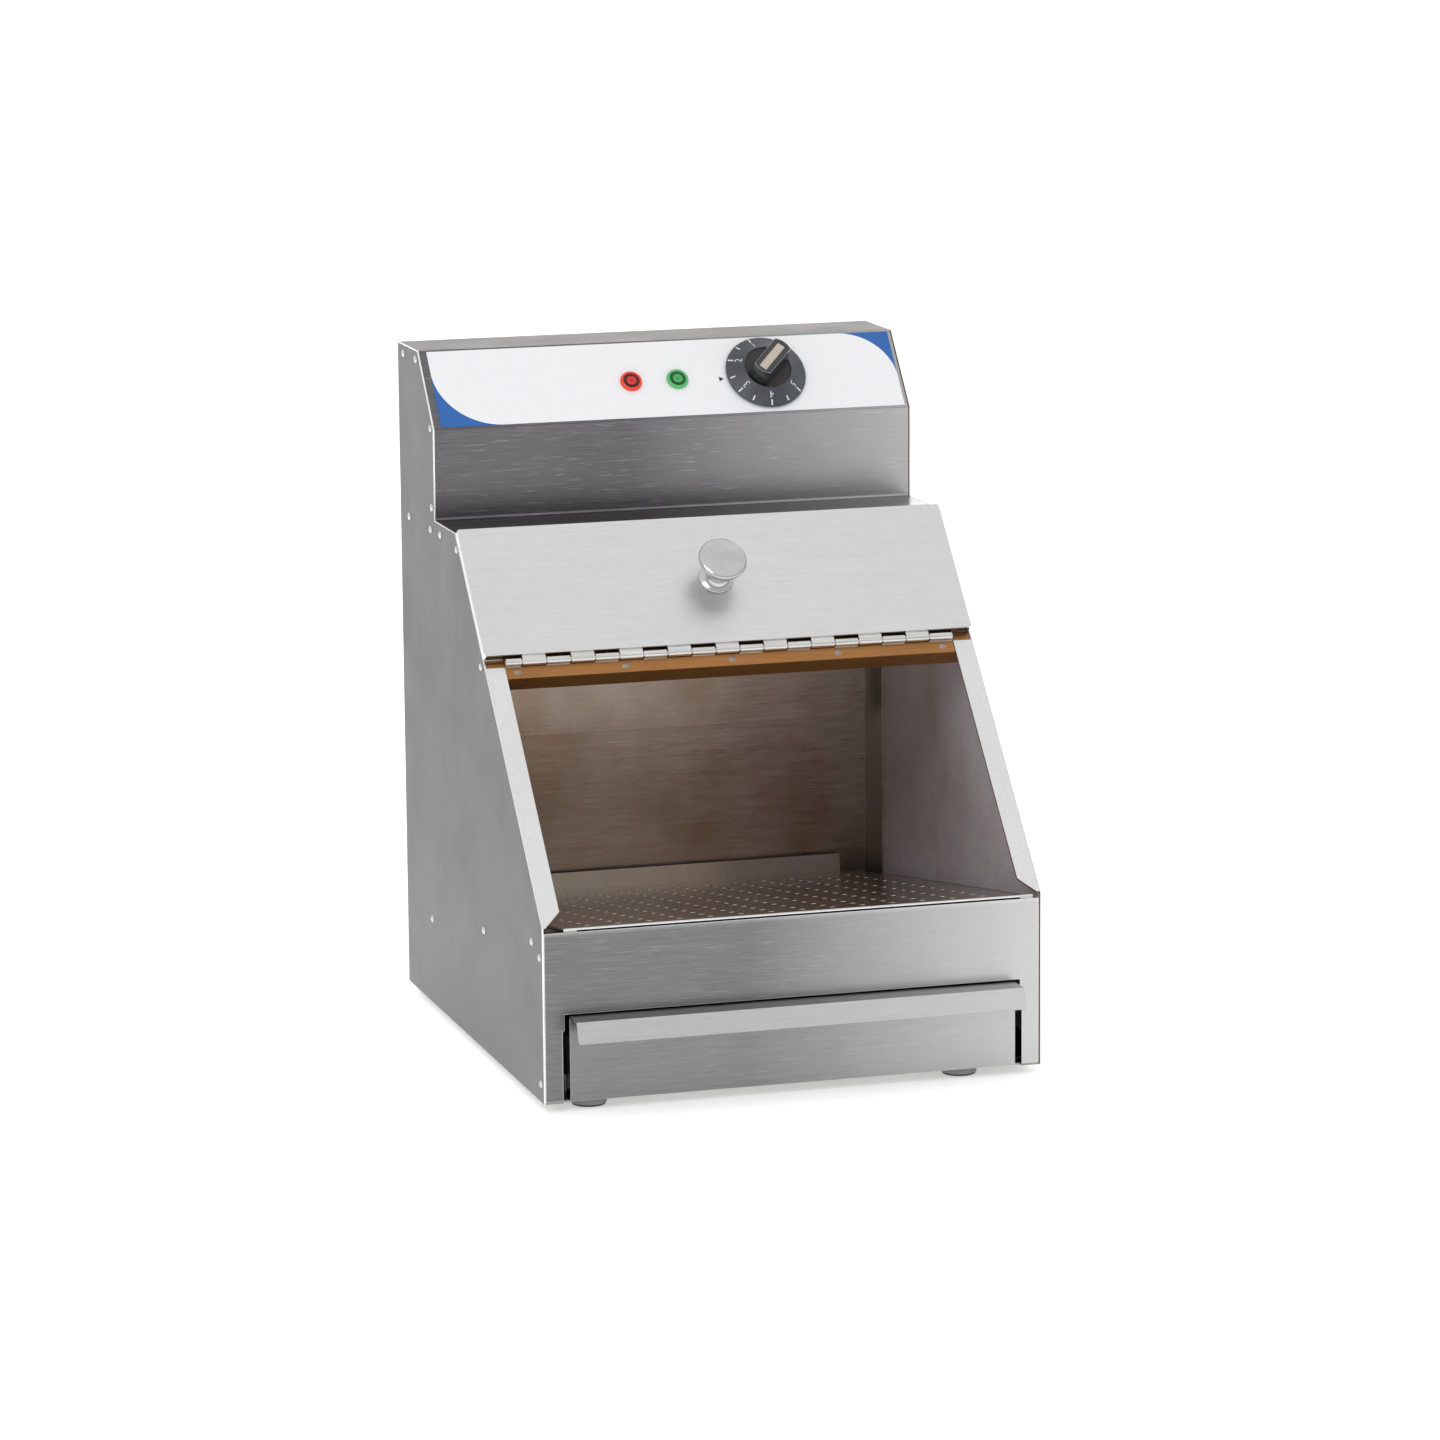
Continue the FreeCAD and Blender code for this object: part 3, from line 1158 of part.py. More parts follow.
def perforated_tray():
    """Make the perforated tray with its front tabs and upturned rear lip."""
    body, planes = new_body("tray")
    plate = [
        (f"0 - {TRAY_WIDTH}/2", "0"),
        (f"{TRAY_WIDTH}/2 + tray_ear", "0"),
        (f"{TRAY_WIDTH}/2 + tray_ear", "tray_sheet"),
        (f"{TRAY_WIDTH}/2", "tray_ear_root"),
        (f"{TRAY_WIDTH}/2", TRAY_LENGTH),
        (f"0 - {TRAY_WIDTH}/2", TRAY_LENGTH),
    ]
    face = body_sketch(body, planes, "tray_outline", "XY", plate, "0 - tray_sheet")
    pad(body, "tray_plate", face, "tray_sheet")
    lip_end = f"{TRAY_LIP_WIDTH}/2"
    lip = rectangle(f"0 - {lip_end}", f"{TRAY_LENGTH} - tray_sheet", lip_end, TRAY_LENGTH)
    pad(body, "tray_rear_lip", body_sketch(body, planes, "tray_lip_outline", "XY", lip), "tray_lip")
    tab_drop = "(tray_front_height - front_height - tray_sheet - seat_gap)"
    right_tab = f"{TRAY_WIDTH}/2 + tray_ear - tray_tab_width"
    for side, start in (("left", f"0 - {TRAY_WIDTH}/2"), ("right", right_tab)):
        tab = rectangle(start, "0", f"{start} + tray_tab_width", "tray_sheet")
        sketch = body_sketch(body, planes, f"tray_{side}_tab_outline", "XY", tab, f"0 - tray_sheet - {tab_drop}")
        pad(body, f"tray_{side}_tab", sketch, tab_drop)
    first = flats_at(f"(hole_side - {TRAY_WIDTH}/2)", "hole_front", "hole_radius")
    hole = body_sketch(body, planes, "tray_hole", "XY", first, "overrun")
    punched = pocket(body, "tray_first_hole", hole, "tray_sheet + 2*overrun")
    pattern = body.newObject("PartDesign::MultiTransform", "tray_holes")
    across = doc.addObject("PartDesign::LinearPattern", "holes_across")
    across.Direction = (hole, ["H_Axis"])
    bind(across, "Length", f"(hole_columns - 1)*{HOLE_ACROSS}")
    bind(across, "Occurrences", "hole_columns")
    along = doc.addObject("PartDesign::LinearPattern", "holes_along")
    along.Direction = (hole, ["V_Axis"])
    bind(along, "Length", f"(hole_rows - 1)*{HOLE_ALONG}")
    bind(along, "Occurrences", "hole_rows")
    pattern.Originals = [punched]
    pattern.Transformations = [across, along]
    body.Tip = pattern
    finish(body, "perforated_tray", TRAY)


# Crumb drawer

def drawer_pan():
    """Make the crumb pan: a shallow open box."""
    body, planes = new_body("pan")
    half = f"({DRAWER_WIDTH}/2 - drawer_pan_inset)"
    front = "cover_sheet"
    rear = "(body_depth - drawer_pan_rear)"
    floor = body_sketch(body, planes, "pan_outline", "XY", rectangle(f"0 - {half}", front, half, rear), DRAWER_FLOOR)
    pad(body, "pan_block", floor, "drawer_pan_height")
    inside = rectangle(
        f"cover_sheet - {half}", f"{front} + cover_sheet", f"{half} - cover_sheet", f"{rear} - cover_sheet"
    )
    top = f"{DRAWER_FLOOR} + drawer_pan_height"
    hollow = body_sketch(body, planes, "pan_inside", "XY", inside, top)
    pocket(body, "pan_hollow", hollow, "drawer_pan_height - cover_sheet")
    finish(body, "drawer_pan")


def drawer_front():
    """Fold the drawer front into its handle lip and round the lip's corners."""
    top = "(drawer_foot + drawer_height - cover_sheet)"
    line = [
        ("0", "drawer_foot"),
        ("0", top),
        ("0 - handle_top_reach", top),
        ("0 - handle_reach + cover_sheet", f"{top} + cover_sheet - handle_drop"),
    ]
    path = outline("drawer_line", "YZ", line, closed=False)
    bent = section("drawer_section", path, "cover_sheet")
    folded = extrude("drawer_folded", bent, "X", f"0 - {DRAWER_WIDTH}/2", f"{DRAWER_WIDTH}/2")
    tools = []
    for side, sign in SIDES.items():
        edge = f"{sign}*{DRAWER_WIDTH}/2"
        foot = f"({top} - handle_drop)"
        low = f"{foot} - overrun"
        inner = f"{edge} - ({sign})*handle_corner"
        corners = [
            (f"{edge} + ({sign})*overrun", low),
            (f"{edge} + ({sign})*overrun", f"{foot} + handle_corner"),
            (edge, f"{foot} + handle_corner"),
            (inner, foot, "handle_corner", -1 if side == "right" else 1),
            (inner, low),
        ]
        corner = outline(f"handle_{side}_corner", "XZ", corners)
        reach = ("0 - handle_reach - overrun", "0 - handle_top_reach/2")
        tools.append(extrude(f"handle_{side}_cutter", corner, "Y", *reach))
    finish(cut("drawer_face", folded, tools), "drawer_front")


# Feet

def foot(name, across, along, recess):
    """Shape one foot with its screw's recess."""
    rings = [
        ("foot_sole_share*foot_radius", "0 - foot_height"),
        ("foot_radius", "foot_pad - foot_height"),
        ("foot_radius", "0"),
    ]
    low = ("0", "0", "0 - foot_height - overrun")
    head = bar(f"{name}_recess", "Z", low, around("screw_head_radius + seat_gap"), f"{recess} + overrun")
    bore = bar(f"{name}_bore", "Z", low, around("foot_screw_radius + fit_gap"), "foot_height + 2*overrun")
    solid = cut(name, faceted(f"{name}_form", rings), [head, bore])
    bind_place(solid, across, along, "0")
    return solid


def feet():
    """Shape the four feet and their screws."""
    pads = []
    screws = []
    recess = "(screw_head_height + foot_pad)"
    length = f"foot_height - {recess} + base_sheet + foot_screw_rise"
    for name, (across, along) in FEET.items():
        pads.append(foot(f"foot_{name}", across, along, recess))
        screw = pan_screw(f"foot_screw_{name}", "foot_screw_radius", length)
        bind_place(screw, across, along, f"{recess} - foot_height")
        screws.append(screw)
    finish(group("feet_group", pads), "feet")
    finish(group("foot_screws_group", screws), "foot_screws")


# Control panel pieces, in the control frame

def control_label():
    """Make the thin label on the control slope, holed for lamps and dial."""
    half = f"({HALF} - label_margin)"
    sheet_outline = rectangle(f"0 - {half}", "label_edge", half, f"{CONTROL_LENGTH} - label_edge")
    film = extrude("label_film", outline("label_outline", "XY", sheet_outline), "Z", "0", "label_sheet")
    tools = []
    for index, (across, along, radius) in enumerate(PANEL_HOLES):
        start = (across, along, "0 - overrun")
        size = around(f"{radius} + fit_gap")
        tools.append(bar(f"label_hole_{index}", "Z", start, size, "label_sheet + 2*overrun"))
    finish(cut("label", film, tools), "control_label", CONTROL)


def lamp(colour):
    """Shape one ringed lamp lens."""
    rim = [
        ("lamp_radius", "0"),
        ("lamp_radius", "lamp_rim_share*lamp_rise"),
        ("lamp_crest_share*lamp_radius", "lamp_rise"),
    ]
    button = [
        ("lamp_groove_inner", "0"),
        ("lamp_groove_inner", "lamp_groove_depth"),
        ("lamp_button_share*lamp_groove_inner", "lamp_button_rise"),
    ]
    low = ("0", "0", "lamp_groove_depth")
    pit = bar(f"{colour}_pit", "Z", low, "lamp_groove_outer", "lamp_rise + overrun", "round_sides")
    ring = cut(f"{colour}_ring", faceted(f"{colour}_rim", rim), [pit])
    lens = fuse(f"{colour}_lens", [ring, faceted(f"{colour}_button", button)])
    frame = in_slope(CONTROL, LAMP_ACROSS[colour], "lamp_along", "label_sheet")
    finish(lens, f"{colour}_lamp_lens", frame)


def lamp_barrels():
    """Make both lamp bodies behind the panel."""
    barrels = []
    for colour, across in LAMP_ACROSS.items():
        start = (across, "lamp_along", "label_sheet - lamp_barrel_length")
        barrels.append(bar(f"{colour}_barrel", "Z", start, "lamp_barrel_radius", "lamp_barrel_length"))
    finish(group("barrels", barrels), "lamp_barrels", CONTROL)


def turned_point(u, v):
    """Turn a point of the grip with its rest angle."""
    return (
        f"({u})*cos(grip_angle) - ({v})*sin(grip_angle)",
        f"({u})*sin(grip_angle) + ({v})*cos(grip_angle)",
    )


def dial_knob():
    """Turn the skirt and hub, then raise the tapered grip bar with its recess."""
    body, planes = new_body("dial")
    hub_face = "(hub_height - hub_recess)"
    bore_top = f"(shaft_rise - {SKIRT_FOOT} + seat_gap)"
    corners = [
        ("bushing_radius + seat_gap", "0"),
        ("skirt_radius", "0"),
        ("skirt_radius", "skirt_edge"),
        ("hub_radius", "hub_height"),
        ("hub_ring_share*hub_radius", hub_face),
        ("0", hub_face),
        ("0", "hub_height/2"),
        ("bushing_radius + seat_gap", "hub_height/2"),
    ]
    half = body_sketch(body, planes, "dial_half", "XZ", corners)
    revolve(body, "dial_turning", half, planes["Z_Axis"])
    half_length = "sqrt(pow(grip_radius; 2) - pow(grip_width/2; 2))"
    left, right = f"0 - {half_length}", half_length
    low, high = "0 - grip_width/2", "grip_width/2"
    grip = [
        turned_point(left, low),
        turned_point(right, low),
        turned_point(right, high) + ("grip_radius", 1),
        turned_point(left, high),
    ]
    grip[0] = grip[0] + ("grip_radius", 1)
    bar = body_sketch(body, planes, "grip_outline", "XY", grip, hub_face)
    pad(body, "grip_bar", bar, f"grip_height - {hub_face}", "grip_taper")
    seat = grip_insert_outline("seat_gap/2")
    recess = body_sketch(body, planes, "insert_seat", "XY", seat, "grip_height")
    pocket(body, "insert_recess", recess, "insert_depth - insert_proud")
    shaft_hole = flats_at("0", "0", around("shaft_radius + fit_gap", "hole_sides"))
    hole = body_sketch(body, planes, "shaft_hole", "XY", shaft_hole)
    pocket(body, "shaft_bore", hole, bore_top, upwards=True)
    finish(body, "dial_knob", in_slope(CONTROL, DIAL_ACROSS, "dial_along", SKIRT_FOOT))


def grip_insert_outline(margin):
    """Return the insert's outline, grown by a margin."""
    u = f"(insert_length/2 + {margin})"
    v = f"(insert_width/2 + {margin})"
    return [
        turned_point(f"0 - {u}", f"0 - {v}"),
        turned_point(u, f"0 - {v}"),
        turned_point(u, v),
        turned_point(f"0 - {u}", v),
    ]


def dial_insert():
    """Make the pale insert in the grip."""
    body, planes = new_body("insert")
    level = "grip_height - insert_depth + insert_proud"
    face = body_sketch(body, planes, "insert_outline", "XY", grip_insert_outline("0"), level)
    pad(body, "insert_plate", face, "insert_depth")
    finish(body, "dial_insert", in_slope(CONTROL, DIAL_ACROSS, "dial_along", SKIRT_FOOT))


def dial_shaft():
    """Make the thermostat's shaft, which turns with the dial."""
    start = (DIAL_ACROSS, "dial_along", "0 - cover_sheet - bushing_length")
    length = "cover_sheet + bushing_length + shaft_rise"
    finish(group("shaft", [rod("shaft_rod", "Z", start, "shaft_radius", length)]), "dial_shaft", CONTROL)


def thermostat():
    """Make the thermostat's case with its bushing through the panel."""
    case = box(
        "thermostat_housing",
        (
            f"{DIAL_ACROSS} - thermostat_width/2",
            "dial_along - thermostat_height/2",
            "0 - cover_sheet - thermostat_depth",
        ),
        ("thermostat_width", "thermostat_height", "thermostat_depth"),
    )
    neck_start = (DIAL_ACROSS, "dial_along", "0 - cover_sheet")
    neck = bar("thermostat_bushing", "Z", neck_start, "bushing_radius", "bushing_length")
    bore_start = (DIAL_ACROSS, "dial_along", "0 - cover_sheet - bushing_length - seat_gap")
    bore = rod("thermostat_bore", "Z", bore_start, "shaft_radius + fit_gap", "2*bushing_length + cover_sheet")
    finish(cut("thermostat", fuse("thermostat_solid", [case, neck]), [bore]), "thermostat_case", CONTROL)


# Heating and wiring, in the housing frame

def element_leg(index, along, level):
    """Make one leg of the element with its elbow and its end up through the floor."""
    tube = "element_radius"
    start = (f"0 - {ELEMENT_REACH}", along, level)
    leg = bar(f"element_leg_{index}", "X", start, tube, f"2*{ELEMENT_REACH} - element_bend")
    centre = (f"0 - {ELEMENT_REACH}", along, f"{level} + element_elbow")
    turn = Rotation(Vector(0, 1, 0), 180).multiply(Rotation(Vector(1, 0, 0), 90))
    elbow = bend(f"element_elbow_{index}", turn, centre, "element_elbow", tube, 90)
    stud_start = (f"0 - {ELEMENT_REACH} - element_elbow", along, f"{level} + element_elbow")
    stud_length = "element_drop - element_elbow + bracket_sheet + element_stud"
    stud = bar(f"element_stud_{index}", "Z", stud_start, tube, stud_length)
    return [leg, elbow, stud]


def heating_element():
    """Bend the tubular element: two legs, a return bend and two ends up through the floor."""
    level = f"({FLOOR_UNDER} - element_drop)"
    shapes = []
    for index, along in enumerate(ELEMENT_LEGS):
        shapes += element_leg(index, along, level)
    centre = (f"{ELEMENT_REACH} - element_bend", f"{ELEMENT_FRONT} + element_bend", level)
    turn = Rotation(Vector(0, 0, 1), -90)
    shapes.append(bend("element_return", turn, centre, "element_bend", "element_radius", 180))
    finish(fuse("element", shapes), "heating_element")


def element_brackets():
    """Make the two hangers that hold the element's legs under the floor."""
    brackets = []
    depth = "2*element_bend + 2*bracket_margin"
    height = "element_drop + bracket_margin"
    for side, sign in SIDES.items():
        across = f"{sign}*{BRACKET_ACROSS}"
        corner = (across, f"{ELEMENT_FRONT} - bracket_margin", f"{FLOOR_UNDER} - ({height})")
        plate = box(f"bracket_{side}_plate", corner, ("bracket_sheet", depth, height))
        tools = []
        for index, along in enumerate(ELEMENT_LEGS):
            start = (f"{across} - overrun", along, f"{FLOOR_UNDER} - element_drop")
            radius = around("element_radius + fit_gap")
            tools.append(bar(f"bracket_{side}_hole_{index}", "X", start, radius, "3*overrun"))
        window = (
            f"{across} - overrun",
            f"{ELEMENT_FRONT} + bracket_margin",
            f"{FLOOR_UNDER} - element_drop - bracket_margin - overrun",
        )
        size = ("3*overrun", "2*element_bend - 2*bracket_margin", "element_drop + overrun")
        tools.append(box(f"bracket_{side}_window", window, size))
        brackets.append(cut(f"bracket_{side}", plate, tools))
    finish(group("brackets", brackets), "element_brackets")


def bulb_clip():
    """Make the clip that holds the thermostat's bulb under the floor."""
    middle = f"({DIAL_ACROSS} - capillary_bend - bulb_length/2)"
    half = "(bulb_radius + bracket_sheet)"
    corner = (middle, f"{CAPILLARY_REAR} - {half}", f"{FLOOR_UNDER} - bulb_drop - {half}")
    plate = box("clip_plate", corner, (f"2*{half}", f"2*{half}", f"bulb_drop + {half}"))
    start = (f"{middle} - overrun", CAPILLARY_REAR, f"{FLOOR_UNDER} - bulb_drop")
    hole = bar("clip_hole", "X", start, "bulb_radius + fit_gap", f"2*{half} + 2*overrun")
    finish(cut("clip", plate, [hole]), "bulb_clip")


def capillary_bulb():
    """Make the thermostat's sensing bulb and the capillary down to it."""
    level = f"({FLOOR_UNDER} - bulb_drop)"
    stem_start = (DIAL_ACROSS, CAPILLARY_REAR, f"{level} + capillary_bend")
    stem = bar("capillary_stem", "Z", stem_start, "capillary_radius", "bulb_drop - capillary_bend + capillary_top")
    centre = (f"{DIAL_ACROSS} - capillary_bend", CAPILLARY_REAR, f"{level} + capillary_bend")
    turn = Rotation(Vector(1, 0, 0), -90)
    elbow = bend("capillary_elbow", turn, centre, "capillary_bend", "capillary_radius", 90)
    bulb_start = (f"{DIAL_ACROSS} - capillary_bend - bulb_length", CAPILLARY_REAR, level)
    bulb = bar("bulb", "X", bulb_start, "bulb_radius", "bulb_length")
    finish(fuse("capillary", [stem, elbow, bulb]), "capillary_bulb")


def terminal_block():
    """Make the terminal block with its row of entries."""
    body, planes = new_body("terminals")
    low_x = f"(terminal_inset - {HALF} - terminal_width/2)"
    low_y = "(body_depth - terminal_rear - terminal_depth/2)"
    block = rectangle(low_x, low_y, f"{low_x} + terminal_width", f"{low_y} + terminal_depth")
    base = body_sketch(body, planes, "terminal_outline", "XY", block, FLOOR_TOP)
    pad(body, "terminal_moulding", base, "terminal_height")
    pitch = "(terminal_width/terminal_poles)"
    start = f"({low_x} + ({pitch} - pole_slot)/2)"
    slot = rectangle(start, f"{low_y} - overrun", f"{start} + pole_slot", f"{low_y} + 0.35*terminal_depth")
    top = f"{FLOOR_TOP} + terminal_height"
    sketch = body_sketch(body, planes, "pole_outline", "XY", slot, top)
    first = pocket(body, "pole_entry", sketch, "pole_slot_depth")
    poles = body.newObject("PartDesign::LinearPattern", "pole_entries")
    poles.Originals = [first]
    poles.Direction = (sketch, ["H_Axis"])
    bind(poles, "Length", f"(terminal_poles - 1)*{pitch}")
    bind(poles, "Occurrences", "terminal_poles")
    body.Tip = poles
    finish(body, "terminal_block")


def gland_frame(offset):
    """Return the place of a piece on the gland's axis, which points to the rear."""
    return (GLAND_ACROSS, f"({FRONT} + body_depth + {offset})", f"(foot_height + {LEDGE_Z} + gland_rise)", "0 - 90")


def cable_gland():
    """Shape the gland's barrel and cap, add its hexagon and bore it for the cord."""
    rings = [
        ("gland_cap_radius", "0"),
        ("gland_cap_radius", "gland_cap_share*gland_reach"),
        ("gland_mouth_radius", "gland_reach"),
    ]
    inside = ("0", "0", "0 - cover_sheet - gland_inside")
    barrel = bar("gland_barrel", "Z", inside, "gland_radius", "cover_sheet + gland_inside", "round_sides")
    flats = extrude("gland_hexagon", outline("gland_flats", "XY", hexagon("gland_hex")), "Z", "0", "gland_hex_length")
    start = ("0", "0", "0 - cover_sheet - gland_inside - overrun")
    bore = rod("gland_bore_tool", "Z", start, "gland_bore", "gland_reach + gland_inside + cover_sheet + 2*overrun")
    solid = fuse("gland_solid", [barrel, faceted("gland_cap", rings), flats])
    finish(cut("gland", solid, [bore]), "cable_gland", gland_frame("0"))


def gland_nut():
    """Make the lock nut inside the back panel."""
    blank = extrude("nut_blank", outline("nut_flats", "XY", hexagon("gland_hex")), "Z", "0", "gland_nut_length")
    start = ("0", "0", "0 - overrun")
    radius = around("gland_radius + fit_gap", "round_sides")
    bore = bar("nut_bore", "Z", start, radius, "gland_nut_length + 2*overrun", "round_sides")
    finish(cut("nut", blank, [bore]), "gland_nut", gland_frame("(0 - cover_sheet - gland_nut_length)"))


# Side rivets

TRAY_RIVET_Z = "(tray_front_height - (rail_drop/2 + tray_sheet + seat_gap)/cos(tray_slope))"

def in_mouth(along, below):
    """Return the (y, z) of a place along the mouth's slope and below its surface."""
    return (
        f"({along})*cos({MOUTH_ANGLE}) + {below}*sin({MOUTH_ANGLE})",
        f"mouth_sill + ({along})*sin({MOUTH_ANGLE}) - {below}*cos({MOUTH_ANGLE})",
    )


def side_rivet_places():
    """Return the (y, z) of each rivet, on the piece that it holds."""
    top = "body_height - rivet_edge"
    floor = f"{FLOOR_TOP} - rivet_edge"
    behind_fascia = f"{CONTROL_FOOT_Y} + rivet_edge"
    places = [
        ("body_depth - 2.7*rivet_edge", top),
        (f"{CONTROL_HEAD_Y} + 0.6*rivet_edge", top),
        (behind_fascia, CONTROL_FOOT_Z),
        (behind_fascia, f"{LEDGE_Z} + 1.3*rivet_edge"),
        ("body_depth - back_return + 2.5*rivet_edge", floor),
        (f"{CONTROL_FOOT_Y} + 1.7*rivet_edge", floor),
        (f"{CONTROL_FOOT_Y} - 2.6*rivet_edge", floor),
        in_mouth(f"{MOUTH_LENGTH} - hood_return + return_tab_width/2", "(cover_sheet + 0.3*return_tab_drop)"),
        in_mouth(f"({HINGE_ALONG} - leaf_width + rail_depth/2)", "(side_sheet + rail_fold/2)"),
        ("rivet_edge", "0.85*front_height"),
        ("rivet_edge", "0.8*base_flange"),
    ]
    for share in ("tray_rivet_front_share", "tray_rivet_middle_share", "tray_rivet_rear_share"):
        along = f"({share}*body_depth)"
        places.append((along, f"{TRAY_RIVET_Z} - {along}*tan(tray_slope)"))
    return places


def side_rivets(side, sign):
    """Set the rivet heads on one side panel."""
    turn = Rotation(Vector(0, 1, 0), 90 if side == "right" else -90)
    spots = [((f"{sign}*{HALF}", along, up), turn) for along, up in side_rivet_places()]
    finish(rivet_heads(f"{side}_heads", spots, "rivet_radius", "rivet_rise"), f"{side}_side_rivets")


def check():
    """Stop if any object failed or any sub-part has no sound shape."""
    for item in doc.Objects:
        if "Invalid" in item.State or "Error" in item.State:
            raise RuntimeError(f"{item.Name} failed: {item.State}")
    for part in parts:
        if part.Shape.isNull() or not part.Shape.isValid() or not part.Shape.Solids:
            raise RuntimeError(f"{part.Label} has no sound solid")


def main():
    """Build every sub-part and write it out."""
    for side, sign in SIDES.items():
        side_panel(side, sign)
        tray_rail(side)
        drawer_runner(side)
        side_rivets(side, sign)
    hood_cover()
    back_panel()
    rear_baffle()
    front_panel()
    base_plate()
    compartment_floor()
    hinge_rail()
    fixed_leaf()
    hinge_pin()
    hinge_rivets()
    lid_panel()
    lid_leaf()
    lid_knob()
    knob_screw()
    perforated_tray()
    drawer_pan()
    drawer_front()
    feet()
    control_label()
    lamp("red")
    lamp("green")
    lamp_barrels()
    dial_knob()
    dial_insert()
    dial_shaft()
    thermostat()
    heating_element()
    element_brackets()
    bulb_clip()
    capillary_bulb()
    terminal_block()
    cable_gland()
    gland_nut()
    doc.recompute()
    check()
    os.makedirs("parts", exist_ok=True)
    for part in parts:
        part.Shape.exportStep(f"parts/{part.Label}.step")


main()
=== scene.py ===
"""Looks of a countertop french fry dump station, dressed over its measured metal parts."""

import logging
import math
from collections.abc import Callable, Sequence
from dataclasses import dataclass
from enum import Enum

import bmesh
import bpy
from mathutils import Matrix, Vector


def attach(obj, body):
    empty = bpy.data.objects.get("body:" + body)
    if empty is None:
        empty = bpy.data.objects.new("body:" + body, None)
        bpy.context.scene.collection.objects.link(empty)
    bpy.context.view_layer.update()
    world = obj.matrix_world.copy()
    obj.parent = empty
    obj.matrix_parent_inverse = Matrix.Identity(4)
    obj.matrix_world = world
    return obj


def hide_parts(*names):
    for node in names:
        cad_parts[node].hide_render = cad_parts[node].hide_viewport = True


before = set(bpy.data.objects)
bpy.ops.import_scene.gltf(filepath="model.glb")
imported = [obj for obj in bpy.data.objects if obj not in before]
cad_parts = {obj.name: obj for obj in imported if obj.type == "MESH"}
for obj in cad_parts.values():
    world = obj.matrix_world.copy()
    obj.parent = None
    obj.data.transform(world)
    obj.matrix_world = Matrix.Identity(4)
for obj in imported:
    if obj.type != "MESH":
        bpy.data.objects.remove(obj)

log = logging.getLogger("fry_station")
MM = 0.001
WELD = 0.002 * MM
WHITE = (1.0, 1.0, 1.0, 1.0)
Colour = tuple[float, float, float, float]
Size = tuple[float, float, float]
Pair = tuple[float, float]
Piece = bpy.types.Object
Material = bpy.types.Material
Socket = bpy.types.NodeSocket
Face = bpy.types.MeshPolygon


# Places


def spin(axis: str, degrees: float) -> Matrix:
    """Return a turn about an axis."""
    return Matrix.Rotation(math.radians(degrees), 4, axis)


def shift(across: float, back: float, up: float) -> Matrix:
    """Return a move by millimetres along X, Y and Z."""
    return Matrix.Translation((across * MM, back * MM, up * MM))


@dataclass(frozen=True)
class Slope:
    """A flat of the housing that leans back: X runs across it, Y up it and Z out of it."""

    front: float
    height: float
    lean: float

    def matrix(self) -> Matrix:
        """Return the slope's frame in the object's frame."""
        return shift(0.0, self.front, self.height) @ spin("X", self.lean)

    def at(self, across: float, along: float, out: float = 0.0, turn: float = 0.0) -> Matrix:
        """Return a frame millimetres across, up and out of the slope, turned about its normal."""
        return self.matrix() @ shift(across, along, out) @ spin("Z", turn)


FRONT = -176.7
MOUTH = Slope(front=FRONT, height=119.5, lean=46.673)
CONTROL = Slope(front=FRONT + 261.0, height=398.4, lean=49.66)
TRAY = Slope(front=FRONT, height=118.3, lean=-9.0)


# Modelling helpers


def deselect() -> None:
    """Clear the selection."""
    if bpy.context.object is not None and bpy.context.object.mode != "OBJECT":
        bpy.ops.object.mode_set(mode="OBJECT")
    bpy.ops.object.select_all(action="DESELECT")


def take(*pieces: Piece) -> None:
    """Select pieces alone, the first of them active.

    Args:
        pieces: the pieces to select.
    """
    deselect()
    for piece in pieces:
        piece.select_set(True)
    bpy.context.view_layer.objects.active = pieces[0]


def named(name: str) -> Piece:
    """Name the piece that was just added.

    Args:
        name: its name, also for its mesh.

    Returns:
        The piece.
    """
    piece = bpy.context.object
    piece.name = piece.data.name = name
    return piece


def edit(piece: Piece, kind: str = "FACE", action: str = "SELECT") -> None:
    """Open a piece in edit mode with all of it selected, or nothing.

    Args:
        piece: the piece.
        kind: VERT, EDGE or FACE.
        action: SELECT or DESELECT.
    """
    take(piece)
    bpy.ops.object.mode_set(mode="EDIT")
    bpy.ops.mesh.select_mode(type=kind)
    bpy.ops.mesh.select_all(action=action)


def leave() -> None:
    """Go back to object mode."""
    bpy.ops.object.mode_set(mode="OBJECT")


def pick(piece: Piece, kind: str, chosen: Callable[[object], bool]) -> None:
    """Open a piece in edit mode with only the chosen parts selected.

    Args:
        piece: the piece.
        kind: VERT, EDGE or FACE.
        chosen: tells which vertices, edges or faces to select.
    """
    edit(piece, kind, "DESELECT")
    mesh = bmesh.from_edit_mesh(piece.data)
    for part in {"VERT": mesh.verts, "EDGE": mesh.edges, "FACE": mesh.faces}[kind]:
        part.select_set(chosen(part))
    bmesh.update_edit_mesh(piece.data)


def apply(piece: Piece, modifier: bpy.types.Modifier) -> None:
    """Apply a piece's modifier."""
    take(piece)
    bpy.ops.object.modifier_apply(modifier=modifier.name)


def place(piece: Piece, matrix: Matrix) -> Piece:
    """Move a piece's mesh to its place and leave the object at the origin.

    Args:
        piece: a mesh drawn about the origin.
        matrix: its place in the object's frame.

    Returns:
        The piece.
    """
    take(piece)
    piece.matrix_world = matrix @ piece.matrix_world
    bpy.ops.object.transform_apply()
    return piece


def block(name: str, size: Size, centre: Size) -> Piece:
    """Add a box, its place in its mesh.

    Args:
        name: the piece's name.
        size: millimetres along X, Y and Z.
        centre: millimetres.

    Returns:
        The box.
    """
    deselect()
    bpy.ops.mesh.primitive_cube_add(size=1.0, location=[c * MM for c in centre])
    piece = named(name)
    piece.scale = [s * MM for s in size]
    bpy.ops.object.transform_apply()
    return piece


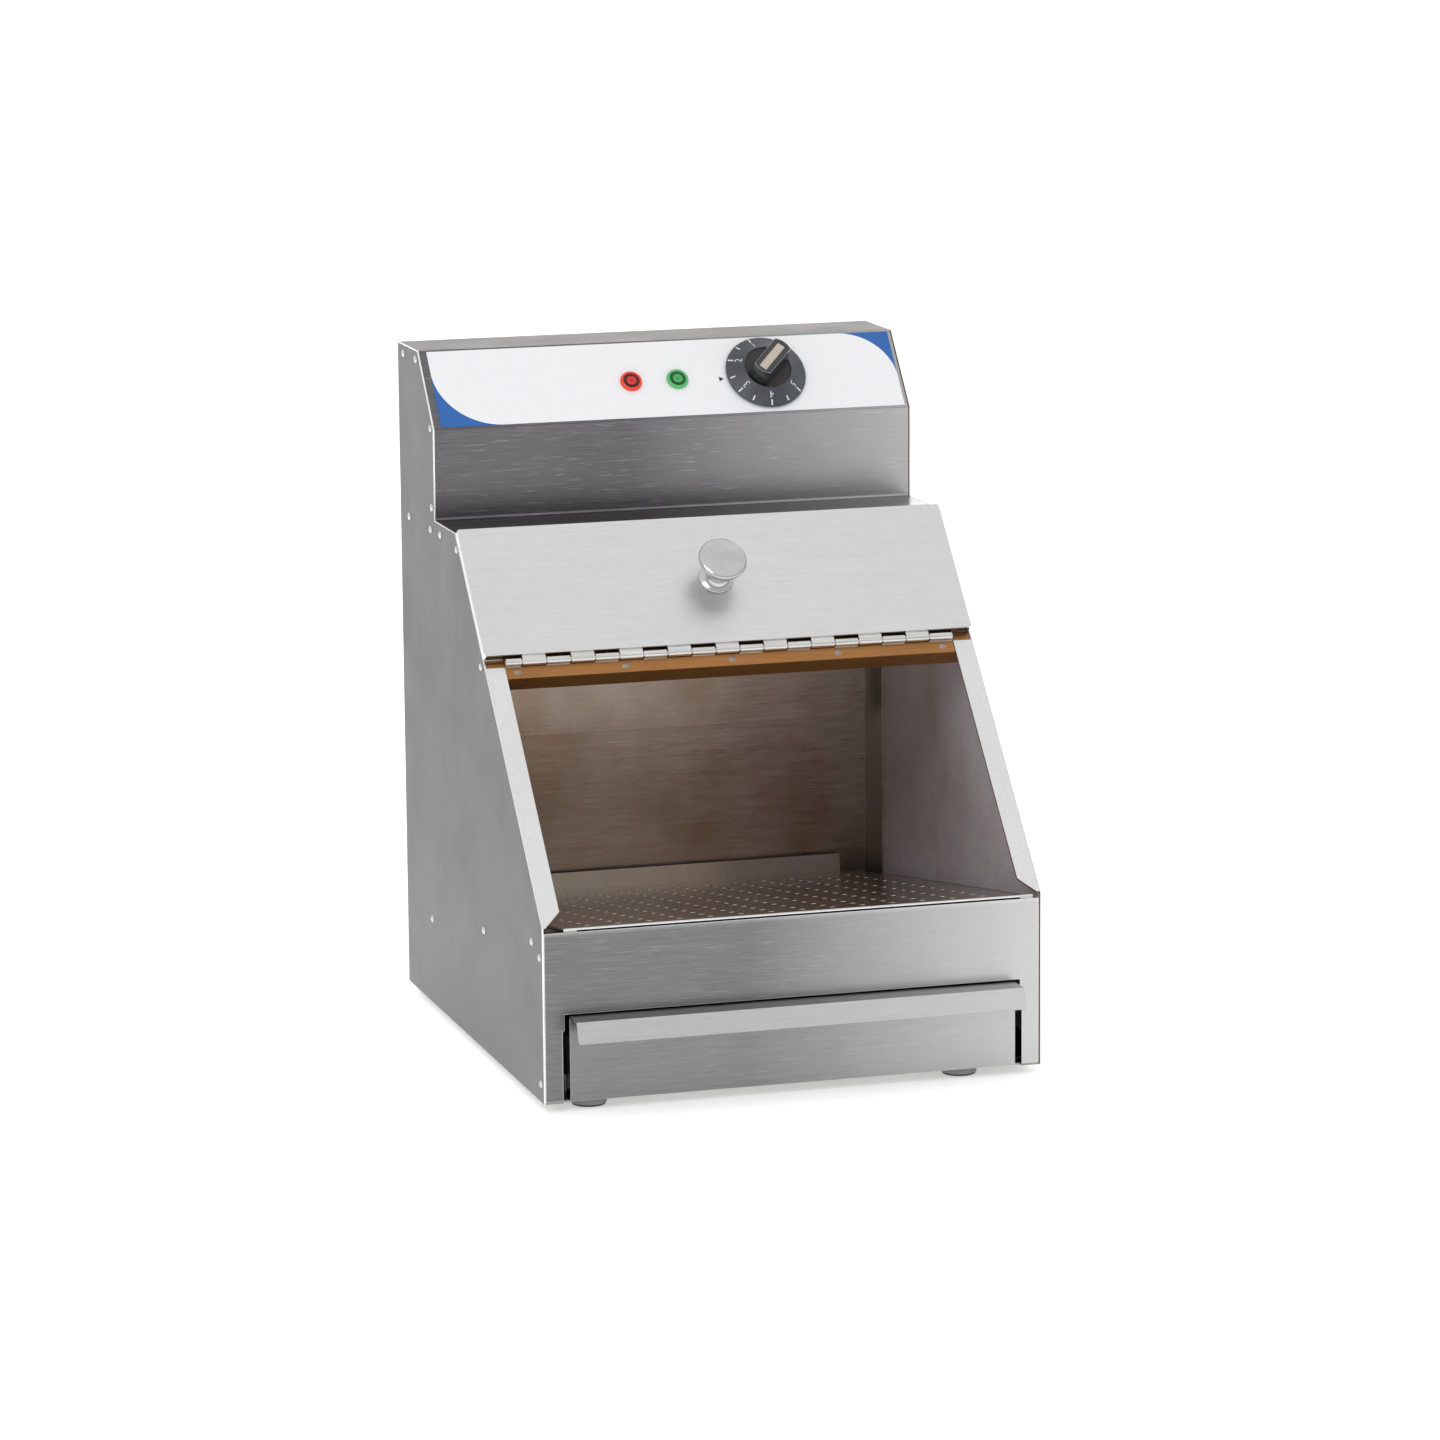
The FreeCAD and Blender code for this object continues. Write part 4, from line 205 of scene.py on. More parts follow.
def turned(name: str, profile: Sequence[Pair], sides: int = 64) -> Piece:
    """Raise a disc ring by ring along its profile, as on a lathe.

    Args:
        name: the piece's name.
        profile: radius and height of each ring in millimetres, from foot to crown.
        sides: how many sides a ring has.

    Returns:
        The turned solid.
    """
    deselect()
    radius, height = profile[0]
    foot = (0.0, 0.0, height * MM)
    bpy.ops.mesh.primitive_circle_add(vertices=sides, radius=radius * MM, fill_type="NGON", location=foot)
    piece = named(name)
    bpy.ops.object.transform_apply()
    edit(piece)
    for wider, higher in profile[1:]:
        rise = (0.0, 0.0, (higher - height) * MM)
        bpy.ops.mesh.extrude_region_move(TRANSFORM_OT_translate={"value": rise})
        share = wider / radius
        bpy.ops.transform.resize(value=(share, share, 1.0), center_override=(0.0, 0.0, higher * MM))
        radius, height = wider, higher
    bpy.ops.mesh.select_all(action="SELECT")
    bpy.ops.mesh.normals_make_consistent(inside=False)
    leave()
    return piece


def copy_of(piece: Piece, name: str) -> Piece:
    """Copy a piece with its own mesh.

    Args:
        piece: the pattern.
        name: the copy's name.

    Returns:
        The copy.
    """
    twin = bpy.data.objects.new(name, piece.data.copy())
    bpy.context.scene.collection.objects.link(twin)
    return twin


def copies(pattern: Piece, name: str, places: Sequence[Matrix]) -> list[Piece]:
    """Set a copy of a pattern in every place, and remove the pattern.

    Args:
        pattern: the piece to repeat.
        name: start of the copies' names.
        places: where the copies go.

    Returns:
        The copies.
    """
    made = [place(copy_of(pattern, f"{name}_{index}"), spot) for index, spot in enumerate(places)]
    bpy.data.objects.remove(pattern)
    return made


def joined(name: str, pieces: Sequence[Piece]) -> Piece:
    """Join pieces into one.

    Args:
        name: the name of the whole.
        pieces: the pieces to join.

    Returns:
        The whole.
    """
    take(*pieces)
    if len(pieces) > 1:
        bpy.ops.object.join()
    return named(name)


def finished(piece: Piece, width: float = 0.0, segments: int = 2, sharp: float = 30.0) -> Piece:
    """Round a piece's sharp edges and smooth its curves.

    Args:
        piece: the piece.
        width: millimetres of rounding, or zero for none.
        segments: facets of the rounding.
        sharp: degrees between faces above which an edge is sharp.

    Returns:
        The piece.
    """
    if width > 0.0:
        bevel = piece.modifiers.new("rounding", "BEVEL")
        bevel.width = width * MM
        bevel.segments = segments
        bevel.limit_method = "ANGLE"
        bevel.angle_limit = math.radians(sharp)
        bevel.use_clamp_overlap = True
        apply(piece, bevel)
    take(piece)
    bpy.ops.object.shade_smooth_by_angle(angle=math.radians(max(sharp, 40.0)))
    even = piece.modifiers.new("even_shading", "WEIGHTED_NORMAL")
    even.keep_sharp = True
    apply(piece, even)
    return piece


def sheet_copy(node: str, name: str, rounding: float) -> Piece:
    """Copy a folded sheet of the frame and ease its cut edges, as a deburred sheet has them.

    Args:
        node: the frame's sheet.
        name: the copy's name.
        rounding: millimetres of easing.

    Returns:
        The eased sheet.
    """
    piece = copy_of(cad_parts[node], name)
    take(piece)
    if piece.data.has_custom_normals:
        bpy.ops.mesh.customdata_custom_splitnormals_clear()
    edit(piece)
    bpy.ops.mesh.remove_doubles(threshold=WELD)
    bpy.ops.mesh.dissolve_limited(angle_limit=math.radians(1.0))
    leave()
    return finished(piece, rounding)


def seats(node: str) -> list[Vector]:
    """Find the separate solids of a frame part.

    Args:
        node: the frame part.

    Returns:
        The middle of each solid, in metres and in a fixed order.
    """
    mesh = bmesh.new()
    mesh.from_mesh(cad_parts[node].data)
    bmesh.ops.remove_doubles(mesh, verts=mesh.verts, dist=WELD)
    waiting, found = set(mesh.verts), []
    while waiting:
        island, edge = set(), [waiting.pop()]
        while edge:
            vertex = edge.pop()
            island.add(vertex)
            near = [link.other_vert(vertex) for link in vertex.link_edges]
            edge.extend(other for other in near if other in waiting)
            waiting.difference_update(near)
        low = Vector([min(v.co[i] for v in island) for i in range(3)])
        high = Vector([max(v.co[i] for v in island) for i in range(3)])
        found.append((low + high) / 2)
    mesh.free()
    return sorted(found, key=lambda spot: tuple(round(c, 6) for c in spot))


def settle(piece: Piece, body: str, slot: str, *nodes: str) -> None:
    """Let a piece ride on its body and hide the frame parts that it stands for.

    Args:
        piece: the piece.
        body: the body that carries it.
        slot: not used.
        nodes: the frame parts that it stands for.
    """
    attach(piece, body)
    if nodes:
        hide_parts(*nodes)
    log.info("%s rides on %s", piece.name, body)


# Finishes

MIX_FIRST, MIX_SECOND, MIX_RESULT = 6, 7, 2
CORE = (0.3, 0.7)
STREAK_SPAN = (0.36, 0.64)
GLINT_SPAN = (0.62, 0.72)
STAIN_AND_REFLECTION_SPAN = (0.42, 0.72)
SMEAR_SPAN = (0.35, 0.7)


def tone(code: str) -> Colour:
    """Convert a display colour.

    Args:
        code: the colour as written for a screen, such as 8c8c8c.

    Returns:
        Its linear values and full cover.
    """
    parts = [int(code[i : i + 2], 16) / 255.0 for i in (0, 2, 4)]
    linear = [p / 12.92 if p <= 0.04045 else ((p + 0.055) / 1.055) ** 2.4 for p in parts]
    return (linear[0], linear[1], linear[2], 1.0)


class Grain(Enum):
    """Stretch of a brushed pattern along X, Y and Z: small where the brush ran."""

    ACROSS = (0.035, 1.0, 1.0)
    UPRIGHT = (1.0, 1.0, 0.035)
    LONG = (1.0, 0.035, 1.0)
    EVEN = (1.0, 1.0, 1.0)


class Shader:
    """One node material while it is put together."""

    def __init__(self, name: str) -> None:
        """Start a material of a name."""
        self.material = bpy.data.materials.new(name)
        self.material.use_nodes = True
        self.tree = self.material.node_tree
        self.surface = self.tree.nodes["Principled BSDF"]
        self.place = self.node("ShaderNodeTexCoord").outputs["Object"]

    def node(self, kind: str, inputs: dict | None = None, **settings: object) -> bpy.types.Node:
        """Add a node, set its own properties and fill its inputs.

        Args:
            kind: the node's type.
            inputs: what goes into each input, by name or number: a socket or a constant.
            settings: its properties.

        Returns:
            The node.
        """
        made = self.tree.nodes.new(kind)
        for key, value in settings.items():
            setattr(made, key, value)
        for key, value in (inputs or {}).items():
            self.feed(made.inputs[key], value)
        return made

    def feed(self, socket: Socket, value: object) -> None:
        """Link or set one input.

        Args:
            socket: the input.
            value: a socket to link or a constant to set.
        """
        if isinstance(value, Socket):
            self.tree.links.new(value, socket)
        else:
            socket.default_value = value

    def mapped(self, move: Size = (0, 0, 0), turn: Size = (0, 0, 0), stretch: Size = (1, 1, 1)) -> Socket:
        """Return the place on the object, in a moved, turned and stretched frame.

        Args:
            move: the frame's origin in metres.
            turn: the frame's turn in degrees.
            stretch: factors after the move.

        Returns:
            The vector socket.
        """
        angles = [math.radians(a) for a in turn]
        given = {"Vector": self.place, "Location": move, "Rotation": angles}
        local = self.node("ShaderNodeMapping", given, vector_type="TEXTURE")
        given = {"Vector": local.outputs["Vector"], "Scale": stretch}
        return self.node("ShaderNodeMapping", given).outputs["Vector"]

    def noise(self, where: Socket, scale: float, detail: float = 2.0, rough: float = 0.5) -> Socket:
        """Return a noise factor.

        Args:
            where: the vector to read.
            scale: cells per metre.
            detail: octaves.
            rough: weight of the fine octaves.

        Returns:
            The factor socket.
        """
        given = {"Vector": where, "Scale": scale, "Detail": detail, "Roughness": rough}
        return self.node("ShaderNodeTexNoise", given).outputs["Fac"]

    def ramp(self, factor: Socket, low: float, high: float, start: float = 0.0, end: float = 1.0) -> Socket:
        """Return a factor stretched from one range to another and held at its ends.

        Args:
            factor: the factor to stretch.
            low: value that gives start.
            high: value that gives end.
            start: the first result.
            end: the last result.

        Returns:
            The result socket.
        """
        given = {"Value": factor, "From Min": low, "From Max": high, "To Min": start, "To Max": end}
        return self.node("ShaderNodeMapRange", given, clamp=True).outputs["Result"]

    def mix(self, factor: object, first: object, second: object) -> Socket:
        """Return a blend of two colours: a factor of one gives the second."""
        given = {0: factor, MIX_FIRST: first, MIX_SECOND: second}
        return self.node("ShaderNodeMix", given, data_type="RGBA").outputs[MIX_RESULT]

    def sum(self, how: str, first: object, second: object) -> Socket:
        """Return the result of one operation on two numbers."""
        return self.node("ShaderNodeMath", {0: first, 1: second}, operation=how).outputs[0]

    def parts(self, where: Socket) -> bpy.types.NodeOutputs:
        """Return the three numbers of a vector."""
        return self.node("ShaderNodeSeparateXYZ", {0: where}).outputs

    def reach(self, across: Socket, along: Socket) -> Socket:
        """Return the length of a flat vector of two numbers."""
        flat = self.node("ShaderNodeCombineXYZ", {0: across, 1: along}).outputs[0]
        return self.node("ShaderNodeVectorMath", {0: flat}, operation="LENGTH").outputs["Value"]

    def bump(self, height: Socket, depth: float, strength: float = 1.0) -> None:
        """Raise the surface by a factor.

        Args:
            height: the factor.
            depth: millimetres at a factor of one.
            strength: weight of the relief.
        """
        given = {"Distance": depth * MM, "Strength": strength, "Height": height}
        self.set(Normal=self.node("ShaderNodeBump", given).outputs["Normal"])

    def set(self, **values: object) -> None:
        """Set the surface's inputs; an underscore stands for a space in an input's name."""
        for key, value in values.items():
            self.feed(self.surface.inputs[key.replace("_", " ")], value)


@dataclass(frozen=True)
class PaintedSheen:
    """Painted light on a sheet: a slow change of paleness along one axis, in metres, with the share of white
    at its ends, standing for reflections and bend highlights.
    """

    axis: int = 0
    start: float = -0.03
    stop: float = 0.165
    shares: Pair = (0.0, 0.3)


@dataclass(frozen=True)
class Brushed:
    """Brushed stainless sheet: streaks along the brush, fine painted glints, stains that on the inner sheets
    and walls are a painted reflection of the fries, and handling marks.
    """

    name: str
    dark: str
    light: str
    grain: Grain = Grain.ACROSS
    streaks: float = 1100.0
    painted_glints: float = 0.25
    shine: float = 0.34
    spread: float = 0.12
    stain_and_reflection: str = "7a6a5c"
    stain_and_reflection_share: float = 0.0
    stain_and_reflection_size: float = 9.0
    metal: float = 1.0
    painted_sheens: tuple[PaintedSheen, ...] = ()
    relief: float = 0.004
    wear: float = 0.03

    def build(self) -> Material:
        """Return the sheet's material."""
        shader = Shader(self.name)
        brushed = shader.mapped(stretch=self.grain.value)
        long_streak = shader.noise(brushed, self.streaks * 0.3, 2.0, 0.5)
        fine_streak = shader.noise(brushed, self.streaks, 3.0, 0.6)
        shares = [shader.sum("MULTIPLY", *pair) for pair in ((long_streak, 0.3), (fine_streak, 0.7))]
        both = shader.sum("ADD", *shares)
        streak = shader.ramp(both, *STREAK_SPAN)
        colour = shader.mix(streak, tone(self.dark), tone(self.light))
        # Painted glints: white flecks mixed into the colour where brushed steel sparkles.
        glint_noise = shader.noise(brushed, self.streaks * 0.8, 2.0, 0.7)
        colour = shader.mix(shader.ramp(glint_noise, *GLINT_SPAN, 0.0, self.painted_glints), colour, WHITE)
        # Stains: the sheet's own marks on most sheets; on the inner sheets and side walls the warm brown is a
        # painted reflection of the fries.
        clouds = shader.noise(shader.mapped(move=(0.31, 0.17, 0.05)), self.stain_and_reflection_size, 4.0, 0.6)
        colour = shader.mix(shader.ramp(clouds, *STAIN_AND_REFLECTION_SPAN, 0.0, self.stain_and_reflection_share), colour, tone(self.stain_and_reflection))
        # Painted sheens: paler gradients and bands that stand for reflected light.
        for sheen in self.painted_sheens:
            along = shader.parts(shader.place)[sheen.axis]
            colour = shader.mix(shader.ramp(along, sheen.start, sheen.stop, *sheen.shares), colour, WHITE)
        worn = shader.ramp(shader.noise(shader.place, 22.0, 5.0, 0.6), *CORE, -self.wear, self.wear)
        gloss = shader.ramp(streak, 0.0, 1.0, self.shine - self.spread / 2, self.shine + self.spread / 2)
        shader.set(Base_Color=colour, Metallic=self.metal, Roughness=shader.sum("ADD", gloss, worn))
        shader.bump(both, self.relief)
        return shader.material


@dataclass(frozen=True)
class Polished:
    """Bright turned or plated metal with faint handling marks."""

    name: str
    colour: str
    shine: float
    marks: float
    dimmed: float = 0.86
    relief: float = 0.004

    def build(self) -> Material:
        """Return the metal's material."""
        shader = Shader(self.name)
        smear = shader.noise(shader.place, 60.0, 4.0, 0.6)
        scratch = shader.noise(shader.mapped(stretch=(1.0, 0.2, 1.0)), 1800.0, 3.0, 0.6)
        tint = tone(self.colour)
        deep = (*(c * self.dimmed for c in tint[:3]), 1.0)
        colour = shader.mix(shader.ramp(smear, *SMEAR_SPAN), tint, deep)
        gloss = shader.ramp(smear, *CORE, self.shine, self.shine + self.marks)
        shader.set(Base_Color=colour, Metallic=1.0, Roughness=gloss)
        shader.bump(scratch, self.relief, 0.5)
        return shader.material


@dataclass(frozen=True)
class Moulding:
    """Moulded plastic with a fine spark-eroded texture and slight wear."""

    name: str
    colour: str
    worn: str
    shine: float
    texture: float = 2600.0
    relief: float = 0.02
    coat: float = 0.0
    gloss_range: Pair = (-0.05, 0.07)

    def build(self) -> Material:
        """Return the plastic's material."""
        shader = Shader(self.name)
        pores = shader.noise(shader.place, self.texture, 2.0, 0.5)
        patches = shader.noise(shader.place, 45.0, 3.0, 0.55)
        colour = shader.mix(shader.ramp(patches, *SMEAR_SPAN), tone(self.colour), tone(self.worn))
        gloss = shader.ramp(pores, *CORE, *(self.shine + change for change in self.gloss_range))
        shader.set(Base_Color=colour, Roughness=gloss, Coat_Weight=self.coat, Coat_Roughness=0.08)
        shader.bump(pores, self.relief, 0.5)
        return shader.material


@dataclass(frozen=True)
class LampLens:
    """Tinted lamp lens with painted shade, a deeper tone, in its groove and its pit, and a paler rim."""

    name: str
    colour: str
    deep: str
    rim: str
    across: float
    along: float = 29.6
    groove: float = 4.35
    groove_edge: Pair = (0.836, 1.178)
    rim_edge: Pair = (5.2, 6.2)
    pit_edge: Pair = (0.45, 0.81)

    def build(self) -> Material:
        """Return the lens's material."""
        shader = Shader(self.name)
        middle = CONTROL.at(self.across, self.along).translation
        split = shader.parts(shader.mapped(move=tuple(middle), turn=(CONTROL.lean, 0.0, 0.0)))
        reach = shader.reach(split[0], split[1])
        away = shader.sum("ABSOLUTE", shader.sum("SUBTRACT", reach, self.groove * MM), 0.0)
        # Painted shade in the groove and the pit.
        groove_shade = shader.ramp(away, *(edge * MM for edge in self.groove_edge), 1.0, 0.0)
        on_rim = shader.ramp(reach, *(edge * MM for edge in self.rim_edge))
        pit_shade = shader.ramp(reach, *(edge * MM for edge in self.pit_edge), 0.8, 0.0)
        swirl = shader.noise(shader.place, 700.0, 3.0, 0.6)
        deep = tone(self.deep)
        colour = shader.mix(shader.ramp(swirl, *CORE, 0.0, 0.2), tone(self.colour), deep)
        colour = shader.mix(on_rim, colour, tone(self.rim))
        colour = shader.mix(pit_shade, shader.mix(groove_shade, colour, deep), deep)
        shader.set(Base_Color=colour, Roughness=0.22, Coat_Weight=0.25, Coat_Roughness=0.08)
        shader.bump(swirl, 0.02, 0.5)
        return shader.material


@dataclass(frozen=True)
class PrintedFilm:
    """White printed film with two blue corners, each outside a round arc."""

    name: str = "printed_film"
    field: Sequence[str] = ("e8e7e8", "eeeff3")
    corner: Sequence[str] = ("0b58a6", "1260ae")
    low_arc: Size = (-116.0, 44.2, 43.0)
    high_arc: Size = (125.3, 24.1, 36.5)
    blur: float = 0.15

    def outside(self, shader: Shader, split: bpy.types.NodeOutputs, arc: Size, side: str) -> Socket:
        """Return where a corner lies outside its arc.

        Args:
            shader: the material in the making.
            split: the place on the label, as three numbers.
            arc: centre across, centre along and radius in millimetres.
            side: MINIMUM for the lower left corner, MAXIMUM for the upper right one.

        Returns:
            A factor of one in the corner.
        """
        offsets = [shader.sum("SUBTRACT", split[index], arc[index] * MM) for index in range(2)]
        reach = shader.reach(*(shader.sum(side, offset, 0.0) for offset in offsets))
        return shader.ramp(reach, (arc[2] - self.blur) * MM, (arc[2] + self.blur) * MM)

    def build(self) -> Material:
        """Return the film's material."""
        shader = Shader(self.name)
        split = shader.parts(shader.mapped(tuple(CONTROL.matrix().translation), (CONTROL.lean, 0.0, 0.0)))
        low = self.outside(shader, split, self.low_arc, "MINIMUM")
        high = self.outside(shader, split, self.high_arc, "MAXIMUM")
        fibre = shader.noise(shader.place, 900.0, 3.0, 0.6)
        inks = [shader.mix(shader.ramp(fibre, *CORE), *map(tone, ink)) for ink in (self.field, self.corner)]
        colour = shader.mix(shader.sum("MAXIMUM", low, high), *inks)
        shader.set(Base_Color=colour, Roughness=shader.ramp(fibre, *CORE, 0.3, 0.38), Coat_Weight=0.15)
        shader.bump(fibre, 0.01, 0.4)
        return shader.material


@dataclass(frozen=True)
class StudioFloor:
    """Pale seamless paper, lit from behind a little."""

    name: str = "studio_floor"
    colours: Sequence[str] = ("f6f6f6", "f3f3f4")
    glow: float = 0.42

    def build(self) -> Material:
        """Return the paper's material."""
        shader = Shader(self.name)
        mottle = shader.noise(shader.place, 3.0, 3.0, 0.5)
        pale = shader.mix(shader.ramp(mottle, *CORE), *map(tone, self.colours))
        shader.set(Base_Color=pale, Roughness=0.9, Emission_Color=WHITE, Emission_Strength=self.glow)
        return shader.material


FINISHES = (
    Brushed(
        "side_steel", "626262", "6a6a6a", Grain.UPRIGHT, 1300.0, 0.03, 0.46, 0.06, "686664", 0.25,
        # Painted sheen: paler towards the foot of the side.
        painted_sheens=(PaintedSheen(2, 0.0, 0.2, (0.09, 0.0)),),
    ),
    Brushed(
        "hood_steel", "626062", "757375", Grain.ACROSS, 1700.0, 0.18, 0.33, 0.1, "5a5654", 0.2,
        # Painted sheen: paler towards the right.
        painted_sheens=(PaintedSheen(),),
    ),
    # Painted shade: a darker copy of the hood steel for the hood's top.
    Brushed("painted_shade_top", "595654", "63605d", Grain.ACROSS, 1500.0, 0.06, 0.44, 0.06, "54504c", 0.2),
    Brushed(
        "front_steel", "6f6f6f", "7f7f7f", Grain.ACROSS, 1700.0, 0.12, 0.33, 0.08, "6c6a6a", 0.15,
        # Painted sheen paler towards the right, and a painted highlight band along the top bend.
        painted_sheens=(PaintedSheen(shares=(0.0, 0.43)), PaintedSheen(2, 0.1128, 0.1185, (0.0, 0.35))),
    ),
    Brushed("lid_sheet", "cecece", "d8d8d8", Grain.ACROSS, 1700.0, 0.03, 0.38, 0.05, "cacaca", 0.2),
    Brushed(
        "drawer_sheet", "7c7c7c", "8b8b8b", Grain.ACROSS, 1700.0, 0.1, 0.34, 0.08, "787574", 0.12,
        # Painted sheen: paler towards the right.
        painted_sheens=(PaintedSheen(shares=(0.0, 0.33)),),
    ),
    Brushed("rear_steel", "858585", "8f8f8f", Grain.ACROSS, 1500.0, 0.04, 0.42, 0.06, "807f7d", 0.2),
    Brushed("pan_sheet", "a3a2a0", "abaaa8", Grain.ACROSS, 1700.0, 0.02, 0.4, 0.05, "989694", 0.15),
    # Painted highlight: a pale copy of the side steel for the side sheets' folds.
    Brushed("painted_fold_highlight", "d6d6d6", "e2e2e2", Grain.UPRIGHT, 1300.0, 0.05, 0.4, 0.06, "c4c2c0", 0.15),
    # Painted light: a paler copy of the drawer steel for the handle lip, with a painted sheen paler towards
    # the right.
    Brushed("painted_light_lip", "c3c3c3", "cdcdcd", Grain.ACROSS, 1700.0, 0.05, 0.38, 0.06, painted_sheens=(PaintedSheen(),)),
    # Painted light: the side walls' inner face, a paler copy of the side steel, its warm brown stains a
    # painted reflection of the fries.
    Brushed("painted_light_wall", "c7c1c8", "e0dbe3", Grain.ACROSS, 900.0, 0.1, 0.42, 0.12, "a2764a", 0.4, 12.0, 0.3),
    # Its warm brown stains are a painted reflection of the fries.
    Brushed(
        "inner_sheet", "9d8f84", "b9aa9e", Grain.ACROSS, 1100.0, 0.15, 0.32, 0.12, "86592b", 0.5, 14.0, 0.8
    ),
    Brushed("tray_sheet", "a79b90", "b3a89d", Grain.LONG, 1700.0, 0.02, 0.2, 0.06, "957352", 0.35, 9.0, 0.9),
    Brushed("hinge_metal", "c4c4c3", "dededd", Grain.ACROSS, 700.0, 0.1, 0.28, 0.08, "bda98c", 0.2, 20.0),
    Brushed(
        "warm_leaf", "9d6c3c", "a67545", Grain.ACROSS, 1300.0, 0.03, 0.3, 0.06, "8a5e35", 0.5, 14.0, 0.75
    ),
    # Pale edge finishes: painted highlights on narrow edge faces.
    Brushed("painted_edge_highlight", "e8e8e8", "f6f6f6", Grain.EVEN, 900.0, 0.0, 0.3, 0.04),
    Brushed("painted_soft_edge_highlight", "b8b8b8", "d0d0d0", Grain.EVEN, 900.0, 0.0, 0.3, 0.04),
    Brushed("brown_edge", "5e4a40", "75604f", Grain.EVEN, 900.0, 0.0, 0.34, 0.04),
    Brushed("bracket_sheet", "8c8a88", "a5a3a1", Grain.LONG, 800.0, 0.05, 0.36, 0.08, "75706b", 0.3),
    Brushed("heated_sheath", "4a4642", "6b655f", Grain.ACROSS, 300.0, 0.0, 0.45, 0.1, "3a3028", 0.6, 40.0),
    Brushed("case_metal", "a8a8a8", "c2c2c2", Grain.EVEN, 300.0, 0.03, 0.4, 0.1, "8e8e8c", 0.2),
    Brushed("pale_plate", "b9aea2", "cfc4b8", Grain.EVEN, 900.0, 0.03, 0.42, 0.08, "b5aa9e", 0.1),
    Polished("knob_chrome", "c4c4c4", 0.1, 0.08),
    Polished("rivet_metal", "dadada", 0.22, 0.1),
    Polished("dull_rivet", "9a8f84", 0.34, 0.12),
    Polished("copper_tube", "b87350", 0.3, 0.1),
    Moulding("dial_moulding", "3c3f45", "4a4d54", 0.36, 1500.0, 0.03),
    Moulding("hub_moulding", "24211f", "2e2b28", 0.5, 2600.0, 0.01),
    Moulding("grip_moulding", "1d1d1f", "27272a", 0.24, 2600.0, 0.008, 0.4),
    # Painted highlight for the grip's top rim.
    Moulding("painted_rim_highlight", "8e959c", "a3aab0", 0.22, 2600.0, 0.008, 0.4),
    Moulding("print_white", "e6f1f6", "dfe9ee", 0.45),
    Moulding("print_black", "17171a", "222226", 0.45),
    Moulding("foot_rubber", "8a8a8a", "969696", 0.5, 1200.0, 0.03),
    Moulding("sole_rubber", "3c3c3c", "4a4a4a", 0.7, 1200.0, 0.04),
    Moulding("gland_moulding", "1c1c1d", "28282a", 0.45),
    Moulding("terminal_moulding", "ded8cc", "d2cbbd", 0.5),
    Moulding("lamp_moulding", "222224", "2c2c2e", 0.4),
    LampLens("red_glass", "d8120c", "4a1012", "ea3818", -24.2),
    LampLens("green_glass", "36ab55", "07592c", "4fb866", 7.9),
    PrintedFilm(),
    StudioFloor(),
)
PLAIN_NODES = {
    "inner_sheet": ("compartment_floor",),
    "warm_leaf": ("hinge_rail",),
    "bracket_sheet": (
        "base_plate", "left_tray_rail", "right_tray_rail", "left_drawer_runner", "right_drawer_runner",
        "element_brackets", "bulb_clip",
    ),
    "heated_sheath": ("heating_element",),
    "case_metal": ("thermostat_case",),
    "copper_tube": ("capillary_bulb",),
    "terminal_moulding": ("terminal_block",),
    "gland_moulding": ("cable_gland", "gland_nut"),
    "lamp_moulding": ("lamp_barrels",),
    "rivet_metal": ("foot_screws", "dial_shaft", "knob_screw"),
    "hinge_metal": ("hinge_pin",),
}


class Palette:
    """Every finish of the object, built once and found by name."""

    def __init__(self) -> None:
        """Build all finishes and give the frame's undressed parts theirs."""
        self.made = {finish.name: finish.build() for finish in FINISHES}
        for finish, nodes in PLAIN_NODES.items():
            for slot in (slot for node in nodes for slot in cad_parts[node].material_slots):
                slot.material = self.made[finish]

    def paint(self, piece: Piece, finish: str) -> None:
        """Give a piece one finish all over.

        Args:
            piece: the piece.
            finish: the finish's name.
        """
        if not piece.data.materials:
            piece.data.materials.append(None)
        for index in range(len(piece.data.materials)):
            piece.data.materials[index] = self.made[finish]


# Sub-assemblies


@dataclass
class Assembly:
    """A group of pieces that takes its finishes from one palette."""

    palette: Palette

    def dress(self, piece: Piece, finish: str, chosen: Callable[[Face], bool]) -> None:
        """Give the chosen faces of a painted piece another finish.

        Args:
            piece: the piece.
            finish: the finish's name.
            chosen: tells which faces take it.
        """
        piece.data.materials.append(self.palette.made[finish])
        for face in filter(chosen, piece.data.polygons):
            face.material_index = len(piece.data.materials) - 1

    def dress_edges(self, piece: Piece, finish: str, widest: float = 1.6) -> None:
        """Give a sheet's narrow faces, its cut and deburred edges, a finish of their own, mostly a painted
        edge highlight.

        Args:
            piece: the sheet.
            finish: the finish's name.
            widest: millimetres up to which a face counts as an edge.
        """

        def narrow(face: Face) -> bool:
            """Return whether a face is as narrow as an edge."""
            corners = [piece.data.vertices[index].co for index in face.vertices]
            longest = max((a - b).length for a, b in zip(corners, corners[1:] + corners[:1]))
            return face.area < widest * MM * longest

        self.dress(piece, finish, narrow)

    def fit(self, piece: Piece, finish: str, body: str, slot: str, *nodes: str) -> None:
        """Paint a piece all over and settle it on its body."""
        self.palette.paint(piece, finish)
        settle(piece, body, slot, *nodes)


@dataclass(frozen=True)
class SheetPlan:
    """How one folded housing sheet is dressed."""

    node: str
    name: str
    finish: str
    edge: str = ""
    slot: str = "housing_steel"


SHEETS = (
    # Painted highlight on the left sheet's narrow edge faces.
    SheetPlan("left_side_panel", "side_sheet_left", "side_steel", "painted_edge_highlight"),
    SheetPlan("right_side_panel", "side_sheet_right", "side_steel", "brown_edge"),
    SheetPlan("hood_cover", "hood_sheet", "hood_steel"),
    # Painted highlight on the front sheet's narrow edge faces.
    SheetPlan("front_panel", "front_sheet", "front_steel", "painted_edge_highlight"),
    SheetPlan("back_panel", "back_sheet", "rear_steel"),
    SheetPlan("rear_baffle", "baffle_sheet", "inner_sheet", slot="inner_steel"),
)


